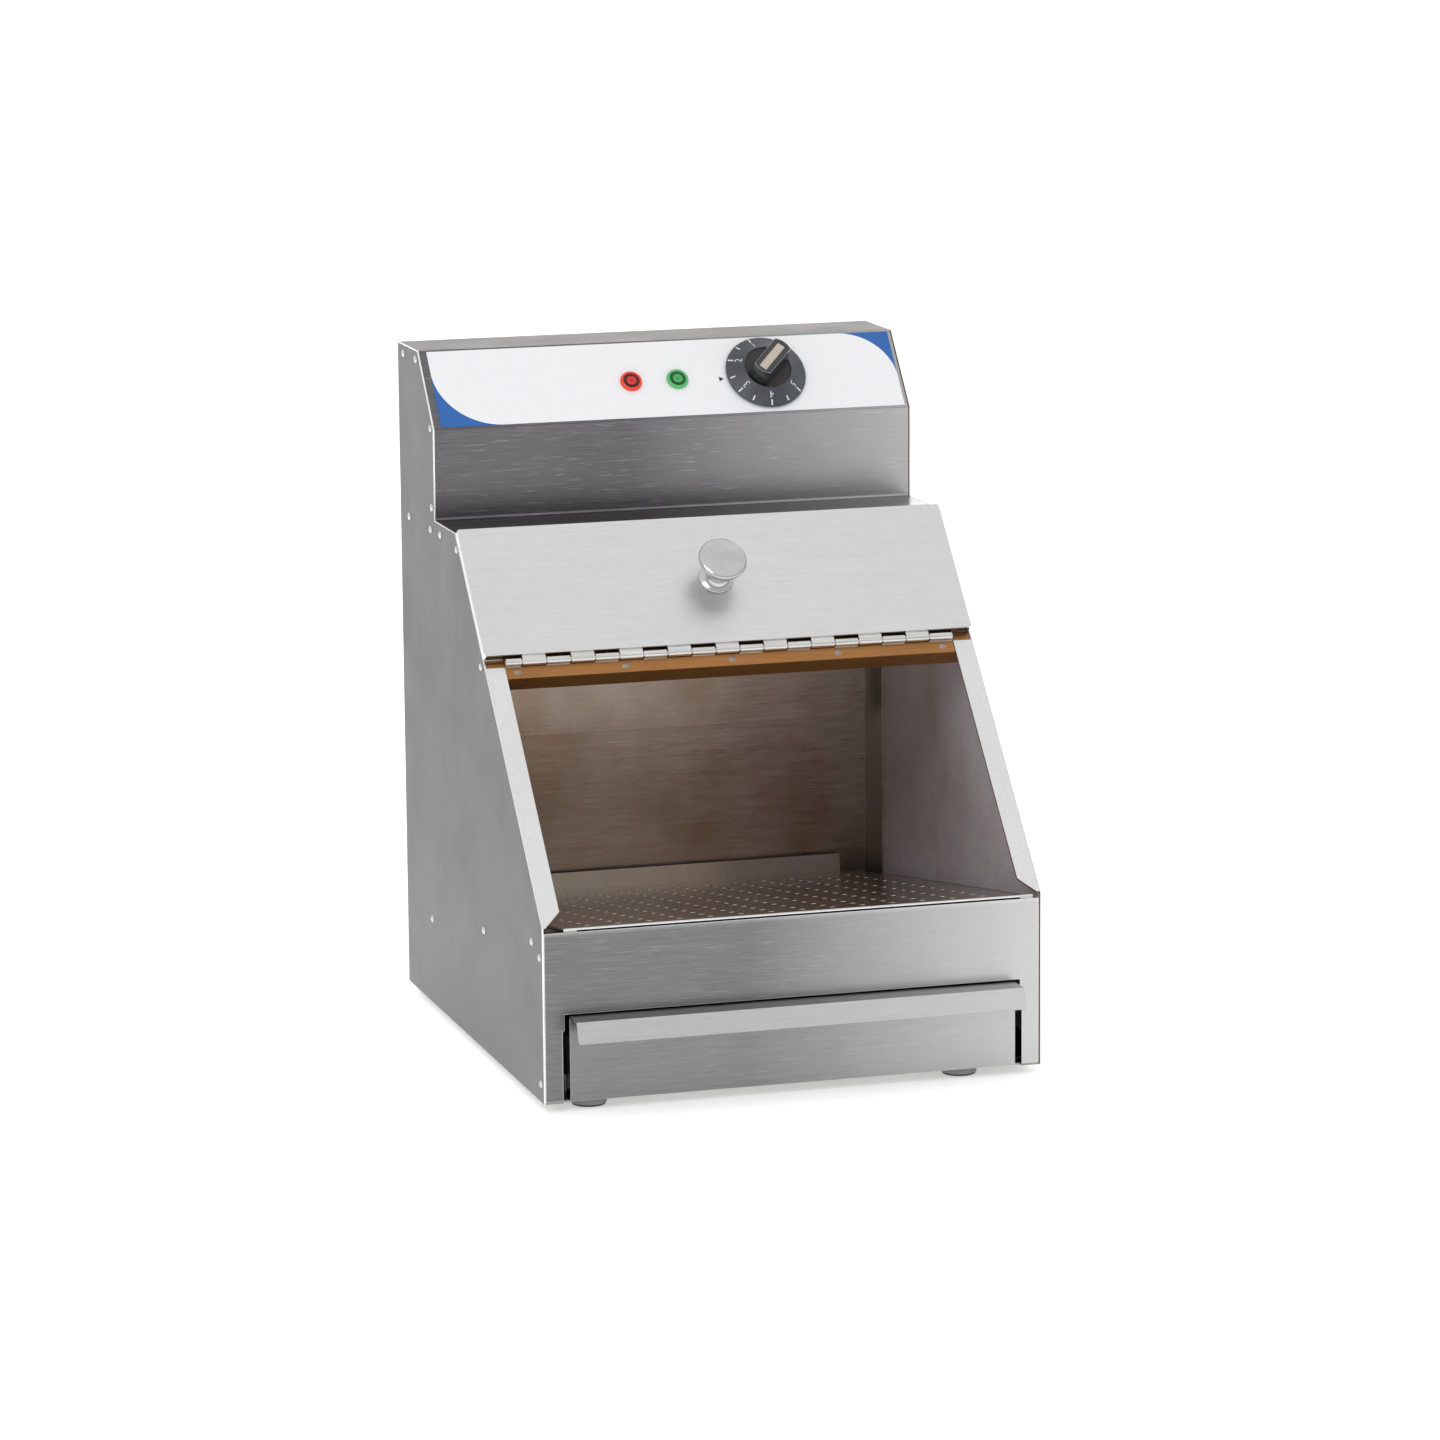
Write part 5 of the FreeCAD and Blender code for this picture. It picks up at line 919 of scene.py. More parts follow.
@dataclass
class Housing(Assembly):
    """Folded housing sheets with eased edges."""

    easing: float = 0.3
    top_depth: float = 3.0
    sideways: float = 0.7
    upwards: float = 0.95
    forwards: float = 0.5

    def dress_side(self, piece: Piece, inward: int) -> None:
        """Give a side sheet a painted highlight on its folds, and an inner face painted paler with a painted
        brown reflection of the fries.

        Args:
            piece: the side sheet.
            inward: 1 where the inside faces right, -1 where it faces left.
        """
        floor = TRAY.height * MM
        self.dress(piece, "painted_fold_highlight", lambda face: abs(face.normal.x) < self.sideways)
        self.dress(
            piece, "painted_light_wall",
            lambda face: face.normal.x * inward > self.sideways and face.center.z > floor,
        )

    def build(self) -> None:
        """Dress every housing sheet."""
        for plan in SHEETS:
            piece = sheet_copy(plan.node, plan.name, self.easing)
            self.palette.paint(piece, plan.finish)
            head = max(vertex.co.z for vertex in piece.data.vertices) - self.top_depth * MM
            if plan.node == "hood_cover":
                # Painted shade: the hood's top takes a darker copy of its steel.
                self.dress(
                    piece, "painted_shade_top",
                    lambda face: face.normal.z > self.upwards and face.center.z > head,
                )
            elif plan.node == "back_panel":
                # The back panel's inner face: warm brown stains that are a painted reflection of the fries.
                self.dress(piece, "inner_sheet", lambda face: face.normal.y < -self.forwards)
            elif plan.node.endswith("side_panel"):
                self.dress_side(piece, 1 if plan.node.startswith("left") else -1)
            if plan.edge:
                self.dress_edges(piece, plan.edge)
            settle(piece, "housing", plan.slot, plan.node)


@dataclass
class Rivets(Assembly):
    """Domed rivets of the sides and flat ones of the hinge."""

    radius: float = 2.5
    rise: float = 1.1
    hinge_radius: float = 2.9
    hinge_rise: float = 0.9
    dome: Sequence[Pair] = (
        (1.0, 0.0), (1.0, 0.12), (0.93, 0.42), (0.78, 0.7), (0.55, 0.88), (0.28, 0.98), (0.05, 1.0)
    )

    def row(self, node: str, name: str, finish: str, turn: Matrix, radius: float, rise: float) -> None:
        """Set a turned head on every rivet of a frame part.

        Args:
            node: the frame part.
            name: the name of the set.
            finish: the heads' finish.
            turn: the heads' turn.
            radius: millimetres at a head's foot.
            rise: millimetres from foot to crown.
        """
        head = turned(f"{name}_pattern", [(radius * r, rise * z) for r, z in self.dome], 20)
        finished(head, sharp=50.0)
        foot = turn @ Vector((0.0, 0.0, -rise / 2 * MM))
        spots = [Matrix.Translation(spot + foot) @ turn for spot in seats(node)]
        self.fit(joined(name, copies(head, name, spots)), finish, "housing", "bright_metal", node)

    def build(self) -> None:
        """Set all rivets."""
        for side, degrees in (("left", -90.0), ("right", 90.0)):
            turn = spin("Y", degrees)
            self.row(f"{side}_side_rivets", f"rivets_{side}", "rivet_metal", turn, self.radius, self.rise)
        turn = spin("X", MOUTH.lean)
        self.row("hinge_rivets", "rivets_hinge", "dull_rivet", turn, self.hinge_radius, self.hinge_rise)


@dataclass
class Label(Assembly):
    """Printed film on the control slope, with its pointer beside the dial."""

    width: float = 320.8
    foot: float = 1.2
    length: float = 59.39
    thickness: float = 0.3
    offset: float = 1.4
    pointer_across: float = 38.0
    pointer_along: float = 28.6
    pointer_radius: float = 2.2
    pointer_height: float = 0.04
    pointer_sink: float = 0.01

    def build(self) -> None:
        """Lay the film and its pointer."""
        middle = (self.offset, self.foot + self.length / 2, self.thickness / 2)
        film = finished(block("film", (self.width, self.length, self.thickness), middle), 0.12)
        self.fit(place(film, CONTROL.matrix()), "printed_film", "housing", "label_film", "control_label")
        deselect()
        bpy.ops.mesh.primitive_circle_add(vertices=3, radius=self.pointer_radius * MM, fill_type="NGON")
        pointer = named("pointer")
        edit(pointer)
        rise = (0.0, 0.0, self.pointer_height * MM)
        bpy.ops.mesh.extrude_region_move(TRANSFORM_OT_translate={"value": rise})
        leave()
        level = self.thickness - self.pointer_sink
        place(pointer, CONTROL.at(self.pointer_across, self.pointer_along, level, -90.0))
        self.fit(finished(pointer), "print_black", "housing", "label_film")


@dataclass
class Lamp(Assembly):
    """Ringed signal lamp: rim, toothed groove and a button with a small pit."""

    colour: str
    across: float
    along: float = 29.6
    lift: float = 0.3
    teeth: int = 16
    tooth: Size = (0.9, 0.55, 0.5)
    tooth_place: Size = (4.95, 0.0, 1.3)
    profile: Sequence[Pair] = (
        (7.1, 0.0), (7.4, 0.3), (7.4, 1.1), (7.2, 1.8), (6.8, 2.25), (6.3, 2.4), (5.9, 2.3),
        (5.45, 1.9), (5.15, 1.15), (3.95, 1.05), (3.75, 1.6), (3.45, 1.95), (2.9, 2.05), (1.9, 1.98),
        (1.75, 1.86), (1.5, 1.86), (1.35, 1.96), (0.75, 1.9), (0.45, 1.5), (0.1, 1.35),
    )

    def build(self) -> None:
        """Turn the lens and set its teeth."""
        name = f"{self.colour}_lens"
        lens = finished(turned(name, self.profile, 48), sharp=40.0)
        pattern = finished(block("tooth", self.tooth, self.tooth_place), 0.15)
        turns = [spin("Z", 360.0 * index / self.teeth) for index in range(self.teeth)]
        lens = joined(name, [lens, *copies(pattern, "tooth", turns)])
        place(lens, CONTROL.at(self.across, self.along, self.lift))
        self.fit(lens, f"{self.colour}_glass", "housing", name, f"{self.colour}_lamp_lens")


@dataclass
class Dial(Assembly):
    """Thermostat dial: marked skirt, hub, grip bar and its pale insert."""

    across: float = 69.6
    along: float = 31.2
    lift: float = 1.3
    skirt_foot: Pair = (27.1, 1.55)
    skirt_head: Pair = (16.6, 6.95)
    skirt_sag: float = 0.35
    grip_turn: float = 46.0
    grip_radius: float = 15.0
    grip_width: float = 14.8
    grip_top: float = 20.0
    grip_draw: float = 1.2
    grip_overhang: float = 1.7
    rim_depth: float = 1.0
    rim_area: float = 12.0
    rim_slope: Pair = (0.15, 0.9)
    hub_face: float = 6.0
    hub_plate: Pair = (-0.4, 0.06)
    hub_rise: float = 0.1
    insert_size: Size = (23.6, 5.6, 0.8)
    insert_sink: float = 0.2
    mark_height: float = 0.08
    numeral_size: float = 7.2
    numeral_radius: float = 19.9
    numeral_band: Pair = (18.0, 22.5)
    numeral_slim_share: float = 0.85
    numeral_thinning: float = 0.1
    tick: Size = (23.1, 26.9, 0.85)
    half_tick: Size = (22.9, 26.3, 0.8)
    majors: tuple[tuple[str, float], ...] = (
        ("1", 105.9), ("2", 157.5), ("3", 214.0), ("4", 267.6), ("5", 321.0)
    )
    minors: tuple[float, ...] = (130.8, 189.0, 238.4, 295.0)

    def mount(
        self, piece: Piece, finish: str, *nodes: str, slot: str = "dial_plastic", turn: float = 0.0
    ) -> None:
        """Place a piece in the dial's frame, turned by some degrees, and settle it there."""
        place(piece, CONTROL.at(self.across, self.along, self.lift, turn))
        self.fit(piece, finish, "dial", slot, *nodes)

    def skirt_height(self, radius: float) -> float:
        """Find the skirt's height at a radius.

        Args:
            radius: millimetres from the dial's middle.

        Returns:
            The height in millimetres.
        """
        (low_radius, low), (high_radius, high) = self.skirt_foot, self.skirt_head
        share = (low_radius - radius) / (low_radius - high_radius)
        return low + share * (high - low) - self.skirt_sag * math.sin(math.pi * max(0.0, min(1.0, share)))

    def turned_parts(self) -> None:
        """Turn the skirt, and the flat face inside the hub's ring."""
        face = self.hub_face
        cone = [(r, self.skirt_height(r)) for r in (27.1, 25.0, 23.0, 21.0, 19.0, 17.4, 16.6)]
        profile = [(26.9, 0.0), (27.4, 0.2), (27.5, 0.7), (27.4, 1.2), *cone]
        profile += [(16.2, 7.1), (15.8, 6.9), (15.6, 6.25), (15.3, face), (0.5, face)]
        self.mount(finished(turned("dial_skirt", profile, 96), sharp=28.0), "dial_moulding", "dial_knob")
        low, high = self.hub_plate
        profile = [(15.2, face + low), (15.2, face + high), (0.5, face + self.hub_rise)]
        self.mount(finished(turned("dial_hub", profile, 96), sharp=28.0), "hub_moulding")

    def grip(self) -> None:
        """Shape the grip bar: a short disc cut flat on two sides and drawn in at its head."""
        deselect()
        radius, half, top = self.grip_radius * MM, self.grip_width / 2 * MM, self.grip_top * MM
        depth = (self.grip_top - self.hub_face) * MM
        middle = (0.0, 0.0, top - depth / 2)
        bpy.ops.mesh.primitive_cylinder_add(vertices=96, radius=radius, depth=depth, location=middle)
        bar = named("dial_grip")
        bpy.ops.object.transform_apply()
        for sign in (-1, 1):
            edit(bar)
            cut = {"plane_co": (0.0, sign * half, 0.0), "plane_no": (0.0, sign, 0.0)}
            bpy.ops.mesh.bisect(**cut, use_fill=True, clear_outer=True)
            leave()
        pick(bar, "FACE", lambda face: face.normal.z > self.rim_slope[1])
        shares = (1.0 - self.grip_draw * MM / radius, 1.0 - self.grip_draw * MM / half, 1.0)
        bpy.ops.transform.resize(value=shares, center_override=(0.0, 0.0, top))
        leave()
        pick(bar, "VERT", lambda vertex: vertex.co.x > radius / 2)
        bpy.ops.transform.translate(value=(self.grip_overhang * MM, 0.0, 0.0))
        leave()
        finished(bar, 0.45, 2, 35.0)
        self.palette.paint(bar, "grip_moulding")
        rim, small = top - self.rim_depth * MM, self.rim_area * MM * MM
        low, high = self.rim_slope
        # Painted highlight on the grip's narrow top rim faces.
        self.dress(
            bar, "painted_rim_highlight",
            lambda face: face.center.z > rim and low < face.normal.z < high and face.area < small,
        )
        place(bar, CONTROL.at(self.across, self.along, self.lift, self.grip_turn))
        settle(bar, "dial", "dial_plastic")

    def insert(self) -> None:
        """Set the pale insert in the grip's head."""
        plate = block("dial_insert_plate", self.insert_size, (0.0, 0.0, self.grip_top - self.insert_sink))
        finished(plate, 0.25)
        self.mount(plate, "pale_plate", "dial_insert", slot="dial_insert", turn=self.grip_turn)

    def laid(self, piece: Piece, radius: float, band: Pair, turn: float, out: float = 0.0) -> Piece:
        """Lay a print on the skirt's cone.

        Args:
            piece: the print, flat about the origin.
            radius: where its middle goes.
            band: the two radii between which the cone's fall is taken.
            turn: degrees round the dial.
            out: millimetres off the skirt.

        Returns:
            The print in the dial's frame.
        """
        low, high = band
        fall = math.atan2(self.skirt_height(low) - self.skirt_height(high), high - low)
        seat = shift(radius, 0.0, self.skirt_height(radius) + out)
        return place(piece, spin("Z", turn) @ seat @ Matrix.Rotation(fall, 4, "Y"))

    def mark(self, name: str, tick: Size, turn: float) -> Piece:
        """Lay one tick on the skirt.

        Args:
            name: the tick's name.
            tick: its inner radius, outer radius and width.
            turn: degrees round the dial.

        Returns:
            The tick in the dial's frame.
        """
        low, high, width = tick
        flat = block(name, (high - low, width, self.mark_height), (0.0, 0.0, self.mark_height / 2))
        return self.laid(finished(flat, 0.02, 1), (low + high) / 2, (low, high), turn)

    def numeral(self, text: str, turn: float) -> Piece:
        """Lay one numeral on the skirt, its head outwards.

        Args:
            text: the numeral.
            turn: degrees round the dial.

        Returns:
            The numeral in the dial's frame.
        """
        deselect()
        bpy.ops.object.text_add()
        piece = bpy.context.object
        piece.data.body = text
        piece.data.size = self.numeral_size * MM
        piece.data.offset = -self.numeral_thinning * MM
        piece.data.align_x = piece.data.align_y = "CENTER"
        piece.data.extrude = self.mark_height / 2 * MM
        take(piece)
        bpy.ops.object.convert(target="MESH")
        piece = named(f"numeral_{text}")
        slim = Matrix.Diagonal((self.numeral_slim_share, 1.0, 1.0, 1.0))
        piece.matrix_world = spin("Z", -90.0) @ slim
        return self.laid(piece, self.numeral_radius, self.numeral_band, turn, self.mark_height / 2)

    def marks(self) -> None:
        """Lay all ticks and numerals as one print."""
        prints = []
        for text, turn in self.majors:
            prints += [self.mark(f"tick_{text}", self.tick, turn), self.numeral(text, turn)]
        for index, turn in enumerate(self.minors):
            prints.append(self.mark(f"half_tick_{index}", self.half_tick, turn))
        self.mount(joined("dial_marks", prints), "print_white")

    def build(self) -> None:
        """Make the whole dial."""
        self.turned_parts()
        self.grip()
        self.insert()
        self.marks()


@dataclass
class Lid(Assembly):
    """Hinged lid with its turned mushroom knob."""

    knob_along: float = 249.86
    lid_top: float = 5.4
    easing: float = 0.35
    profile: Sequence[Pair] = (
        (11.3, 0.0), (11.7, 0.3), (11.7, 1.0), (11.4, 1.5), (10.2, 2.0), (8.6, 2.9), (7.3, 4.4), (6.5, 6.6),
        (6.2, 9.2), (6.4, 11.6), (7.2, 14.0), (8.7, 16.0), (10.8, 17.6), (13.0, 18.6), (14.6, 19.4),
        (15.6, 20.5), (16.0, 21.8), (15.8, 22.9), (15.0, 23.7), (13.4, 24.3), (10.6, 24.85), (7.0, 25.25),
        (3.4, 25.45), (0.3, 25.5),
    )

    def build(self) -> None:
        """Ease the lid's edges and turn its knob."""
        sheet = sheet_copy("lid_panel", "lid_sheet_metal", self.easing)
        self.palette.paint(sheet, "lid_sheet")
        # Painted highlight on the lid's narrow edge faces.
        self.dress_edges(sheet, "painted_edge_highlight")
        settle(sheet, "lid", "lid_steel", "lid_panel")
        knob = finished(turned("knob", self.profile, 72), sharp=50.0)
        place(knob, MOUTH.at(0.0, self.knob_along, self.lid_top))
        self.fit(knob, "knob_chrome", "lid", "knob_metal", "lid_knob")


@dataclass
class PianoHinge(Assembly):
    """Rolled knuckles and two leaves between lid and rail."""

    along: float = 197.02
    lift: float = 1.5
    length: float = 302.6
    radius: float = 2.65
    chamfer: float = 0.25
    pitch: float = 16.2
    count: int = 19
    gap: float = 0.6
    sheet: float = 1.0
    notch: float = 4.6
    overlap: float = 0.05
    lid_reach: float = 25.0
    fixed_reach: float = 11.5

    def strip(self, name: str, ends: Pair, depths: Pair, fixed: bool, easing: float) -> Piece:
        """Shape a flat strip of one leaf.

        Args:
            name: the strip's name.
            ends: its left and right end, in millimetres from the middle.
            depths: its near and far edge, in millimetres from the pin.
            fixed: whether it belongs to the fixed leaf, under the pin.
            easing: millimetres of rounding.

        Returns:
            The strip in the slope's frame.
        """
        side = -1 if fixed else 1
        level = self.lift + side * (self.radius - self.sheet / 2)
        centre = (sum(ends) / 2, self.along + side * sum(depths) / 2, level)
        return finished(block(name, (ends[1] - ends[0], depths[1] - depths[0], self.sheet), centre), easing)

    def knuckle(self, name: str, low: float, high: float) -> Piece:
        """Roll one knuckle about the pin.

        Args:
            name: the knuckle's name.
            low: left end, millimetres from the middle.
            high: right end.

        Returns:
            The knuckle in the slope's frame.
        """
        span, slim = high - low, self.radius - self.chamfer
        profile = [(slim, 0.0), (self.radius, self.chamfer), (self.radius, span - self.chamfer), (slim, span)]
        tube = finished(turned(name, profile, 28), sharp=35.0)
        return place(tube, shift(low, self.along, self.lift) @ spin("Y", 90.0))

    def leaf(self, name: str, parts: Sequence[Piece], finish: str, body: str, *nodes: str) -> None:
        """Join a leaf's parts, set it on the slope and settle it."""
        whole = place(joined(name, parts), MOUTH.matrix())
        self.fit(whole, finish, body, "hinge_steel", *nodes)

    def build(self) -> None:
        """Make both leaves with their knuckles."""
        left = -self.length / 2
        first = self.length - (self.count - 1) * self.pitch
        rolls: dict[bool, list[Piece]] = {True: [], False: []}
        for index in range(self.count):
            fixed = index % 2 == 0
            high = left + first + index * self.pitch - self.gap / 2
            low = (left if index == 0 else left + first + (index - 1) * self.pitch) + self.gap / 2
            depths = (-self.overlap, (self.radius if fixed else self.notch) + self.overlap)
            rolls[fixed].append(self.knuckle(f"knuckle_{index}", low, high))
            rolls[fixed].append(self.strip(f"tongue_{index}", (low, high), depths, fixed, 0.12))
        ends = (left, -left)
        rolls[False].append(self.strip("lid_plate", ends, (self.notch, self.lid_reach), False, 0.15))
        self.leaf("hinge_rolls_fixed", rolls[True], "hinge_metal", "housing", "hinge_fixed_leaf")
        self.leaf("hinge_leaf_lid", rolls[False], "hinge_metal", "lid", "hinge_lid_leaf")
        plate = self.strip("hinge_leaf_fixed", ends, (self.radius, self.fixed_reach), True, 0.15)
        self.leaf("hinge_leaf_fixed", [plate], "warm_leaf", "housing")


@dataclass
class PerforatedTray(Assembly):
    """Punched tray with its front tabs, right ear and upturned rear lip."""

    rim_area: float = 4.0
    pitch: float = 20.2
    columns: int = 14
    rows: int = 15
    hole: float = 2.5
    half_width: float = 151.0
    first_row: float = 16.0
    length: float = 352.09
    sheet: float = 1.5
    easing: float = 0.18
    ear: float = 8.6
    ear_root: float = 7.0
    tab: float = 8.5
    tab_drop: float = 0.8
    lip: float = 12.0
    lip_width: float = 284.0
    near: float = 0.01
    upright: float = 0.6

    def cell(self) -> Piece:
        """Punch one cell: a round hole in a square.

        Returns:
            The first cell, at the left of the first row.
        """
        deselect()
        bpy.ops.mesh.primitive_circle_add(vertices=16, radius=self.hole * MM, fill_type="NOTHING")
        cell = named("tray_plate")
        edit(cell, "EDGE")
        bpy.ops.mesh.extrude_edges_move(TRANSFORM_OT_translate={"value": (0.0, 0.0, 0.0)})
        mesh = bmesh.from_edit_mesh(cell.data)
        for vertex in (vertex for vertex in mesh.verts if vertex.select):
            vertex.co *= self.pitch / 2 * MM / max(abs(vertex.co.x), abs(vertex.co.y))
        bmesh.update_edit_mesh(cell.data)
        leave()
        return place(cell, shift(-(self.columns - 1) * self.pitch / 2, self.first_row, 0.0))

    def repeat(self, piece: Piece, count: int, step: Size) -> None:
        """Repeat a mesh in a row and weld it.

        Args:
            piece: the mesh.
            count: how many times it stands in the row.
            step: millimetres from one to the next.
        """
        row = piece.modifiers.new("row", "ARRAY")
        row.use_relative_offset = False
        row.use_constant_offset = True
        row.constant_offset_displace = [s * MM for s in step]
        row.count = count
        row.use_merge_vertices = True
        row.merge_threshold = self.near * MM
        apply(piece, row)

    def widen(self, piece: Piece, axis: int, edge: float, limit: float) -> None:
        """Draw the plate's outer edge out to its real border.

        Args:
            piece: the plate.
            axis: 0 for X and 1 for Y.
            edge: where the edge is, in millimetres.
            limit: where it goes.
        """

        def outer(line: bmesh.types.BMEdge) -> bool:
            """Return whether an edge is the plate's border on that side."""
            on_side = all(abs(v.co[axis] - edge * MM) < self.near * MM for v in line.verts)
            return on_side and len(line.link_faces) == 1

        pick(piece, "EDGE", outer)
        move = [0.0, 0.0, 0.0]
        move[axis] = (limit - edge) * MM
        bpy.ops.mesh.extrude_edges_move(TRANSFORM_OT_translate={"value": move})
        leave()

    def plate(self) -> Piece:
        """Punch the whole plate and give it its thickness.

        Returns:
            The plate in the tray's frame, its upper face at the origin's height.
        """
        plate = self.cell()
        self.repeat(plate, self.columns, (self.pitch, 0.0, 0.0))
        self.repeat(plate, self.rows, (0.0, self.pitch, 0.0))
        side = self.columns * self.pitch / 2
        self.widen(plate, 0, -side, -self.half_width)
        self.widen(plate, 0, side, self.half_width)
        self.widen(plate, 1, self.first_row - self.pitch / 2, 0.0)
        self.widen(plate, 1, self.first_row + (self.rows - 0.5) * self.pitch, self.length)
        edit(plate)
        bpy.ops.mesh.normals_make_consistent(inside=False)
        leave()
        if sum(face.normal.z for face in plate.data.polygons) < 0.0:
            edit(plate)
            bpy.ops.mesh.flip_normals()
            leave()
        shell = plate.modifiers.new("sheet", "SOLIDIFY")
        shell.thickness = self.sheet * MM
        shell.offset = -1.0
        apply(plate, shell)
        return finished(plate, self.easing, 1, 50.0)

    def folds(self) -> list[Piece]:
        """Shape the ear, the two tabs and the rear lip.

        Returns:
            The folds in the tray's frame.
        """
        half, edge = self.sheet / 2, self.half_width + self.ear
        middle = (self.half_width + self.ear / 2, self.ear_root / 2, -half)
        ear = block("tray_ear", (self.ear, self.ear_root, self.sheet), middle)
        pick(ear, "VERT", lambda vertex: vertex.co.x > (edge - 1.0) * MM and vertex.co.y > MM)
        bpy.ops.transform.translate(value=(0.0, (self.sheet - self.ear_root) * MM, 0.0))
        leave()
        pieces = [ear]
        for side, across in (("left", self.tab / 2 - self.half_width), ("right", edge - self.tab / 2)):
            centre = (across, half, -self.sheet - self.tab_drop / 2)
            pieces.append(block(f"tray_tab_{side}", (self.tab, self.sheet, self.tab_drop), centre))
        size = (self.lip_width, self.sheet, self.lip + self.sheet)
        pieces.append(block("tray_lip", size, (0.0, self.length - half, self.lip / 2 - half)))
        return [finished(piece, self.easing, 1) for piece in pieces]

    def build(self) -> None:
        """Make the tray, with a painted highlight on its holes' walls and front edge."""
        tray = place(joined("tray_plate", [self.plate(), *self.folds()]), TRAY.matrix())
        self.palette.paint(tray, "tray_sheet")
        small = self.rim_area * MM * MM
        front = (TRAY.front + 2 * self.sheet) * MM
        # Painted highlight on the holes' walls and the front edge.
        self.dress(
            tray, "painted_edge_highlight",
            lambda face: abs(face.normal.z) < self.upright and (face.area < small or face.center.y < front),
        )
        settle(tray, "tray", "tray_steel", "perforated_tray")


@dataclass
class CrumbDrawer(Assembly):
    """Crumb drawer: folded front with its handle lip, and the pan behind it."""

    easing: float = 0.35
    lip_depth: float = 3.0
    lip_reach: float = 20.0
    forwards: float = 0.5
    upwards: float = 0.3

    def dress_lip(self, piece: Piece) -> None:
        """Give the handle lip its paler faces, painted light, and the sheet's narrow edges a painted
        highlight.

        Args:
            piece: the drawer's front.
        """
        foremost = min(vertex.co.y for vertex in piece.data.vertices)
        near, far = foremost + self.lip_depth * MM, foremost + self.lip_reach * MM
        # Painted light: the lip's front and top faces take a paler copy of the drawer steel.
        self.dress(piece, "painted_light_lip", lambda face: face.center.y < near and face.normal.y < -self.forwards)
        self.dress(piece, "painted_light_lip", lambda face: face.center.y < far and face.normal.z > self.upwards)
        # Painted highlight on the drawer's narrow edge faces.
        self.dress_edges(piece, "painted_soft_edge_highlight")

    def build(self) -> None:
        """Ease the drawer's sheets."""
        front = sheet_copy("drawer_front", "drawer_face", self.easing)
        self.palette.paint(front, "drawer_sheet")
        self.dress_lip(front)
        settle(front, "drawer", "drawer_steel", "drawer_front")
        pan = sheet_copy("drawer_pan", "crumb_pan", self.easing)
        self.fit(pan, "pan_sheet", "drawer", "drawer_steel", "drawer_pan")


@dataclass
class Feet(Assembly):
    """Turned feet with dark soles."""

    body: Sequence[Pair] = (
        (10.6, 1.4), (11.2, 1.4), (11.5, 1.7), (11.5, 4.6), (11.2, 5.4), (10.6, 6.0), (0.5, 6.0)
    )
    sole: Sequence[Pair] = ((10.2, 0.0), (10.6, 0.15), (10.9, 0.6), (10.9, 1.45), (0.5, 1.45))

    def build(self) -> None:
        """Turn one body and one sole, and copy them to every foot's place."""
        spots = [Matrix.Translation((spot.x, spot.y, 0.0)) for spot in seats("feet")]
        for profile, name, finish, nodes in (
            (self.body, "foot_bodies", "foot_rubber", ("feet",)),
            (self.sole, "foot_soles", "sole_rubber", ()),
        ):
            pattern = finished(turned(f"{name}_pattern", profile, 48), sharp=40.0)
            whole = joined(name, copies(pattern, name, spots))
            self.fit(whole, finish, "housing", "foot_grey", *nodes)


# Studio


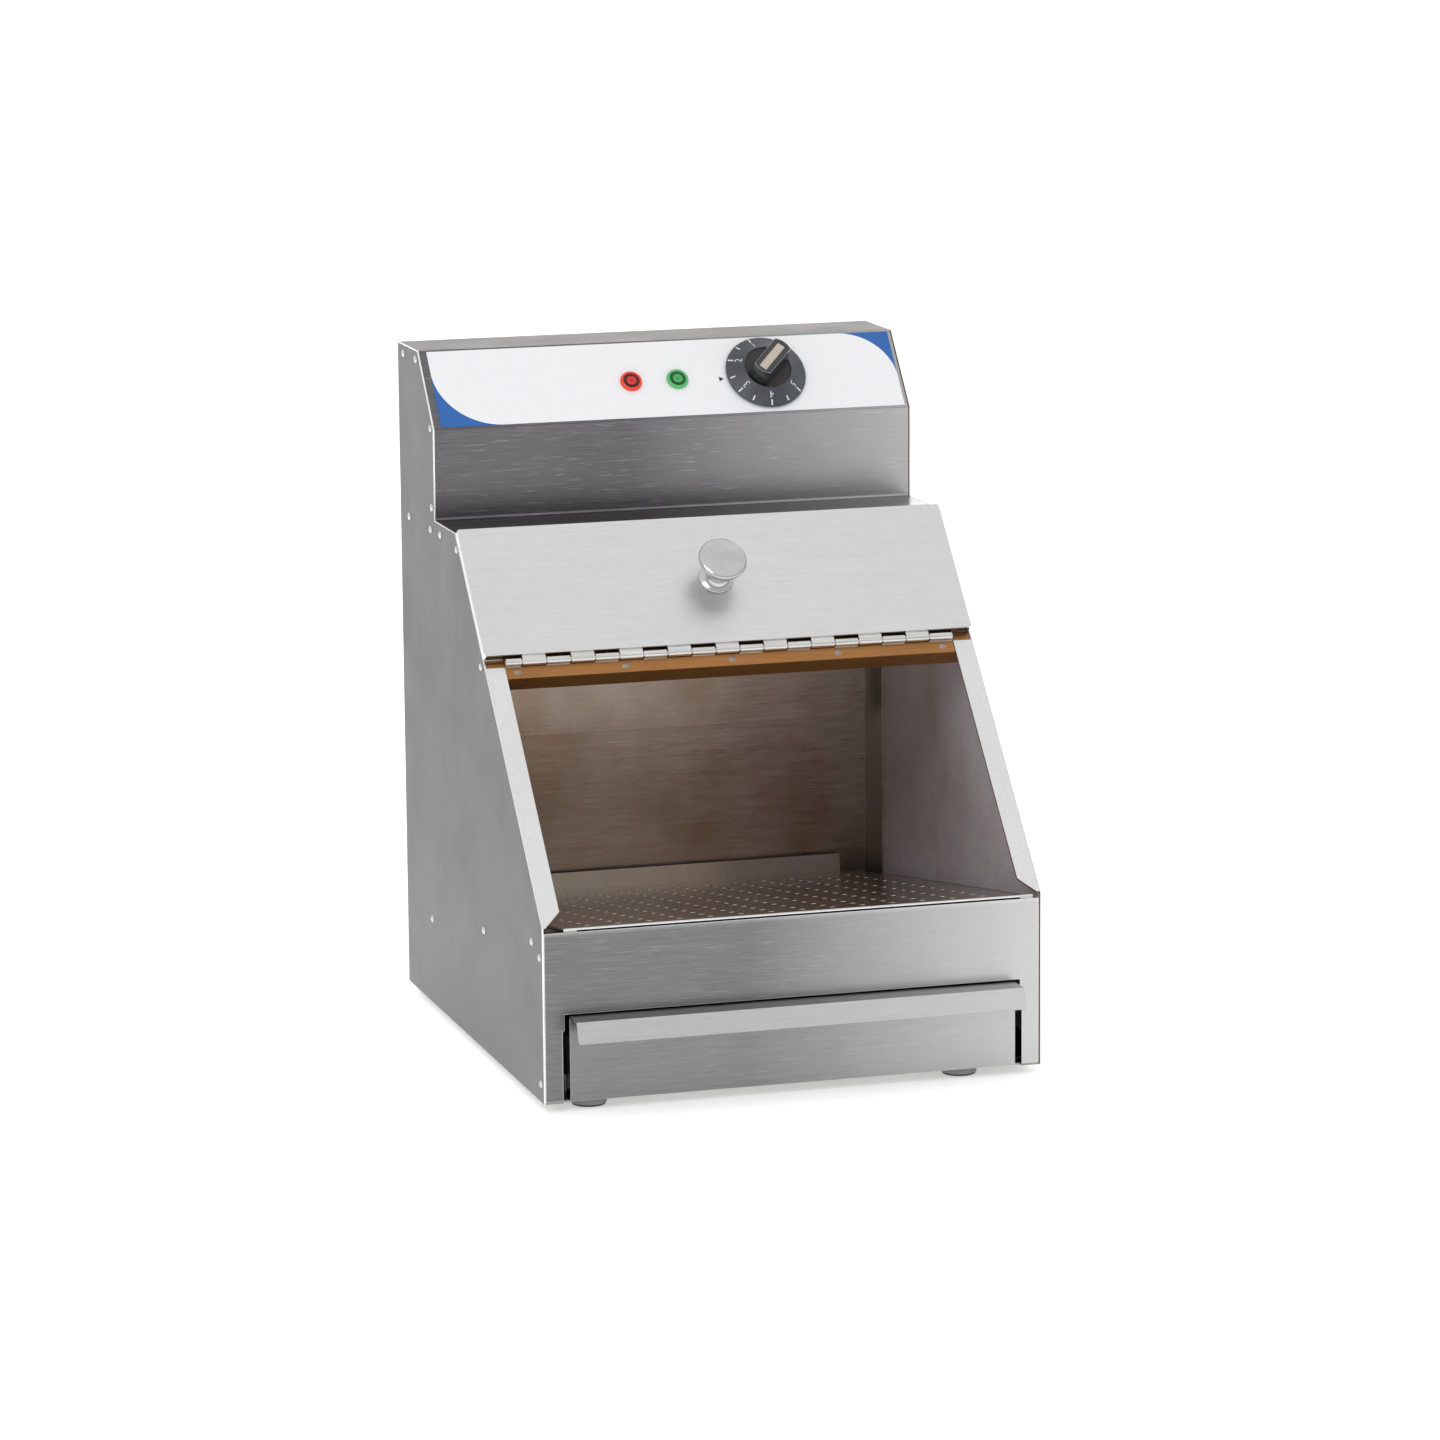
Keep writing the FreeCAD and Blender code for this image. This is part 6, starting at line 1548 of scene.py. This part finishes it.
@dataclass
class Studio(Assembly):
    """Pale floor, soft lights and the camera."""

    width: float = 0.33
    foot: float = 6.0
    aim: Pair = (0.8, 0.7)
    azimuth: float = -16.65
    elevation: float = 10.85
    roll: float = -0.46
    distance: float = 11.87
    slide: float = 0.09
    raise_by: float = -0.13
    focal: float = 5848.9
    image: float = 1440.0
    sensor: float = 36.0
    horizon: float = 0.4
    zenith: float = 1.0
    sky_rise: float = 0.6

    def camera(self) -> None:
        """Set the camera at the measured view: places in widths of the body, lengths in photo pixels."""
        azimuth, elevation = math.radians(self.azimuth), math.radians(self.elevation)
        level = math.cos(elevation)
        back = Vector((math.sin(azimuth) * level, -math.cos(azimuth) * level, math.sin(elevation)))
        right = Vector((math.cos(azimuth), math.sin(azimuth), 0.0))
        up = back.cross(right)
        deep, high = self.aim[0] * self.width, self.aim[1] * self.width
        target = Vector((0.0, deep + FRONT * MM, high + self.foot * MM))
        eye = target + (back * self.distance + right * self.slide + up * self.raise_by) * self.width
        turn = math.radians(self.roll)
        side = right * math.cos(turn) + up * math.sin(turn)
        head = up * math.cos(turn) - right * math.sin(turn)
        axes = Matrix((side, head, back)).transposed()
        lens = bpy.data.cameras.new("view")
        lens.sensor_width = self.sensor
        lens.lens = self.focal / self.image * self.sensor
        lens.clip_end = 100.0
        camera = bpy.data.objects.new("view", lens)
        camera.matrix_world = Matrix.Translation(eye) @ axes.to_4x4()
        bpy.context.scene.collection.objects.link(camera)
        bpy.context.scene.camera = camera

    def light(self, name: str, eye: Size, target: Size, size: Pair, power: float) -> None:
        """Hang one soft box.

        Args:
            name: the light's name.
            eye: its place in metres.
            target: where it points.
            size: width and height in metres.
            power: watts.
        """
        data = bpy.data.lights.new(name, "AREA")
        data.shape = "RECTANGLE"
        data.size, data.size_y = size
        data.energy = power
        lamp = bpy.data.objects.new(name, data)
        direction = Vector(target) - Vector(eye)
        lamp.matrix_world = Matrix.Translation(eye) @ direction.to_track_quat("-Z", "Y").to_matrix().to_4x4()
        bpy.context.scene.collection.objects.link(lamp)

    def sky(self) -> None:
        """Light the scene all round, dimmer at the horizon than overhead."""
        world = bpy.data.worlds.new("studio")
        world.use_nodes = True
        bpy.context.scene.world = world
        nodes, links = world.node_tree.nodes, world.node_tree.links
        split = nodes.new("ShaderNodeSeparateXYZ")
        links.new(nodes.new("ShaderNodeTexCoord").outputs["Generated"], split.inputs[0])
        rise = nodes.new("ShaderNodeMapRange")
        given = {"From Min": 0.0, "From Max": self.sky_rise, "To Min": self.horizon, "To Max": self.zenith}
        for key, value in given.items():
            rise.inputs[key].default_value = value
        links.new(split.outputs[2], rise.inputs["Value"])
        links.new(rise.outputs["Result"], nodes["Background"].inputs["Strength"])
        nodes["Background"].inputs["Color"].default_value = WHITE

    def build(self) -> None:
        """Set floor, sky, lights and camera."""
        deselect()
        bpy.ops.mesh.primitive_plane_add(size=60.0, location=(0.0, 0.0, 0.0))
        floor = named("floor")
        self.palette.paint(floor, "studio_floor")
        self.sky()
        self.light("key", (-1.6, -2.2, 2.4), (0.0, 0.0, 0.2), (1.6, 1.2), 14.0)
        self.light("backdrop", (0.4, 2.6, 0.75), (0.0, 0.0, 0.35), (3.4, 1.1), 20.0)
        self.camera()
        bpy.context.scene.view_settings.view_transform = "Standard"


def main() -> None:
    """Build the whole object and its studio."""
    logging.basicConfig(level=logging.INFO, format="%(message)s")
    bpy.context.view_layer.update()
    palette = Palette()
    Housing(palette).build()
    Rivets(palette).build()
    Label(palette).build()
    Lamp(palette, "red", -24.2).build()
    Lamp(palette, "green", 7.9).build()
    for assembly in (Dial, Lid, PianoHinge, PerforatedTray, CrumbDrawer, Feet, Studio):
        assembly(palette).build()
    deselect()


if __name__ == "__main__":
    main()
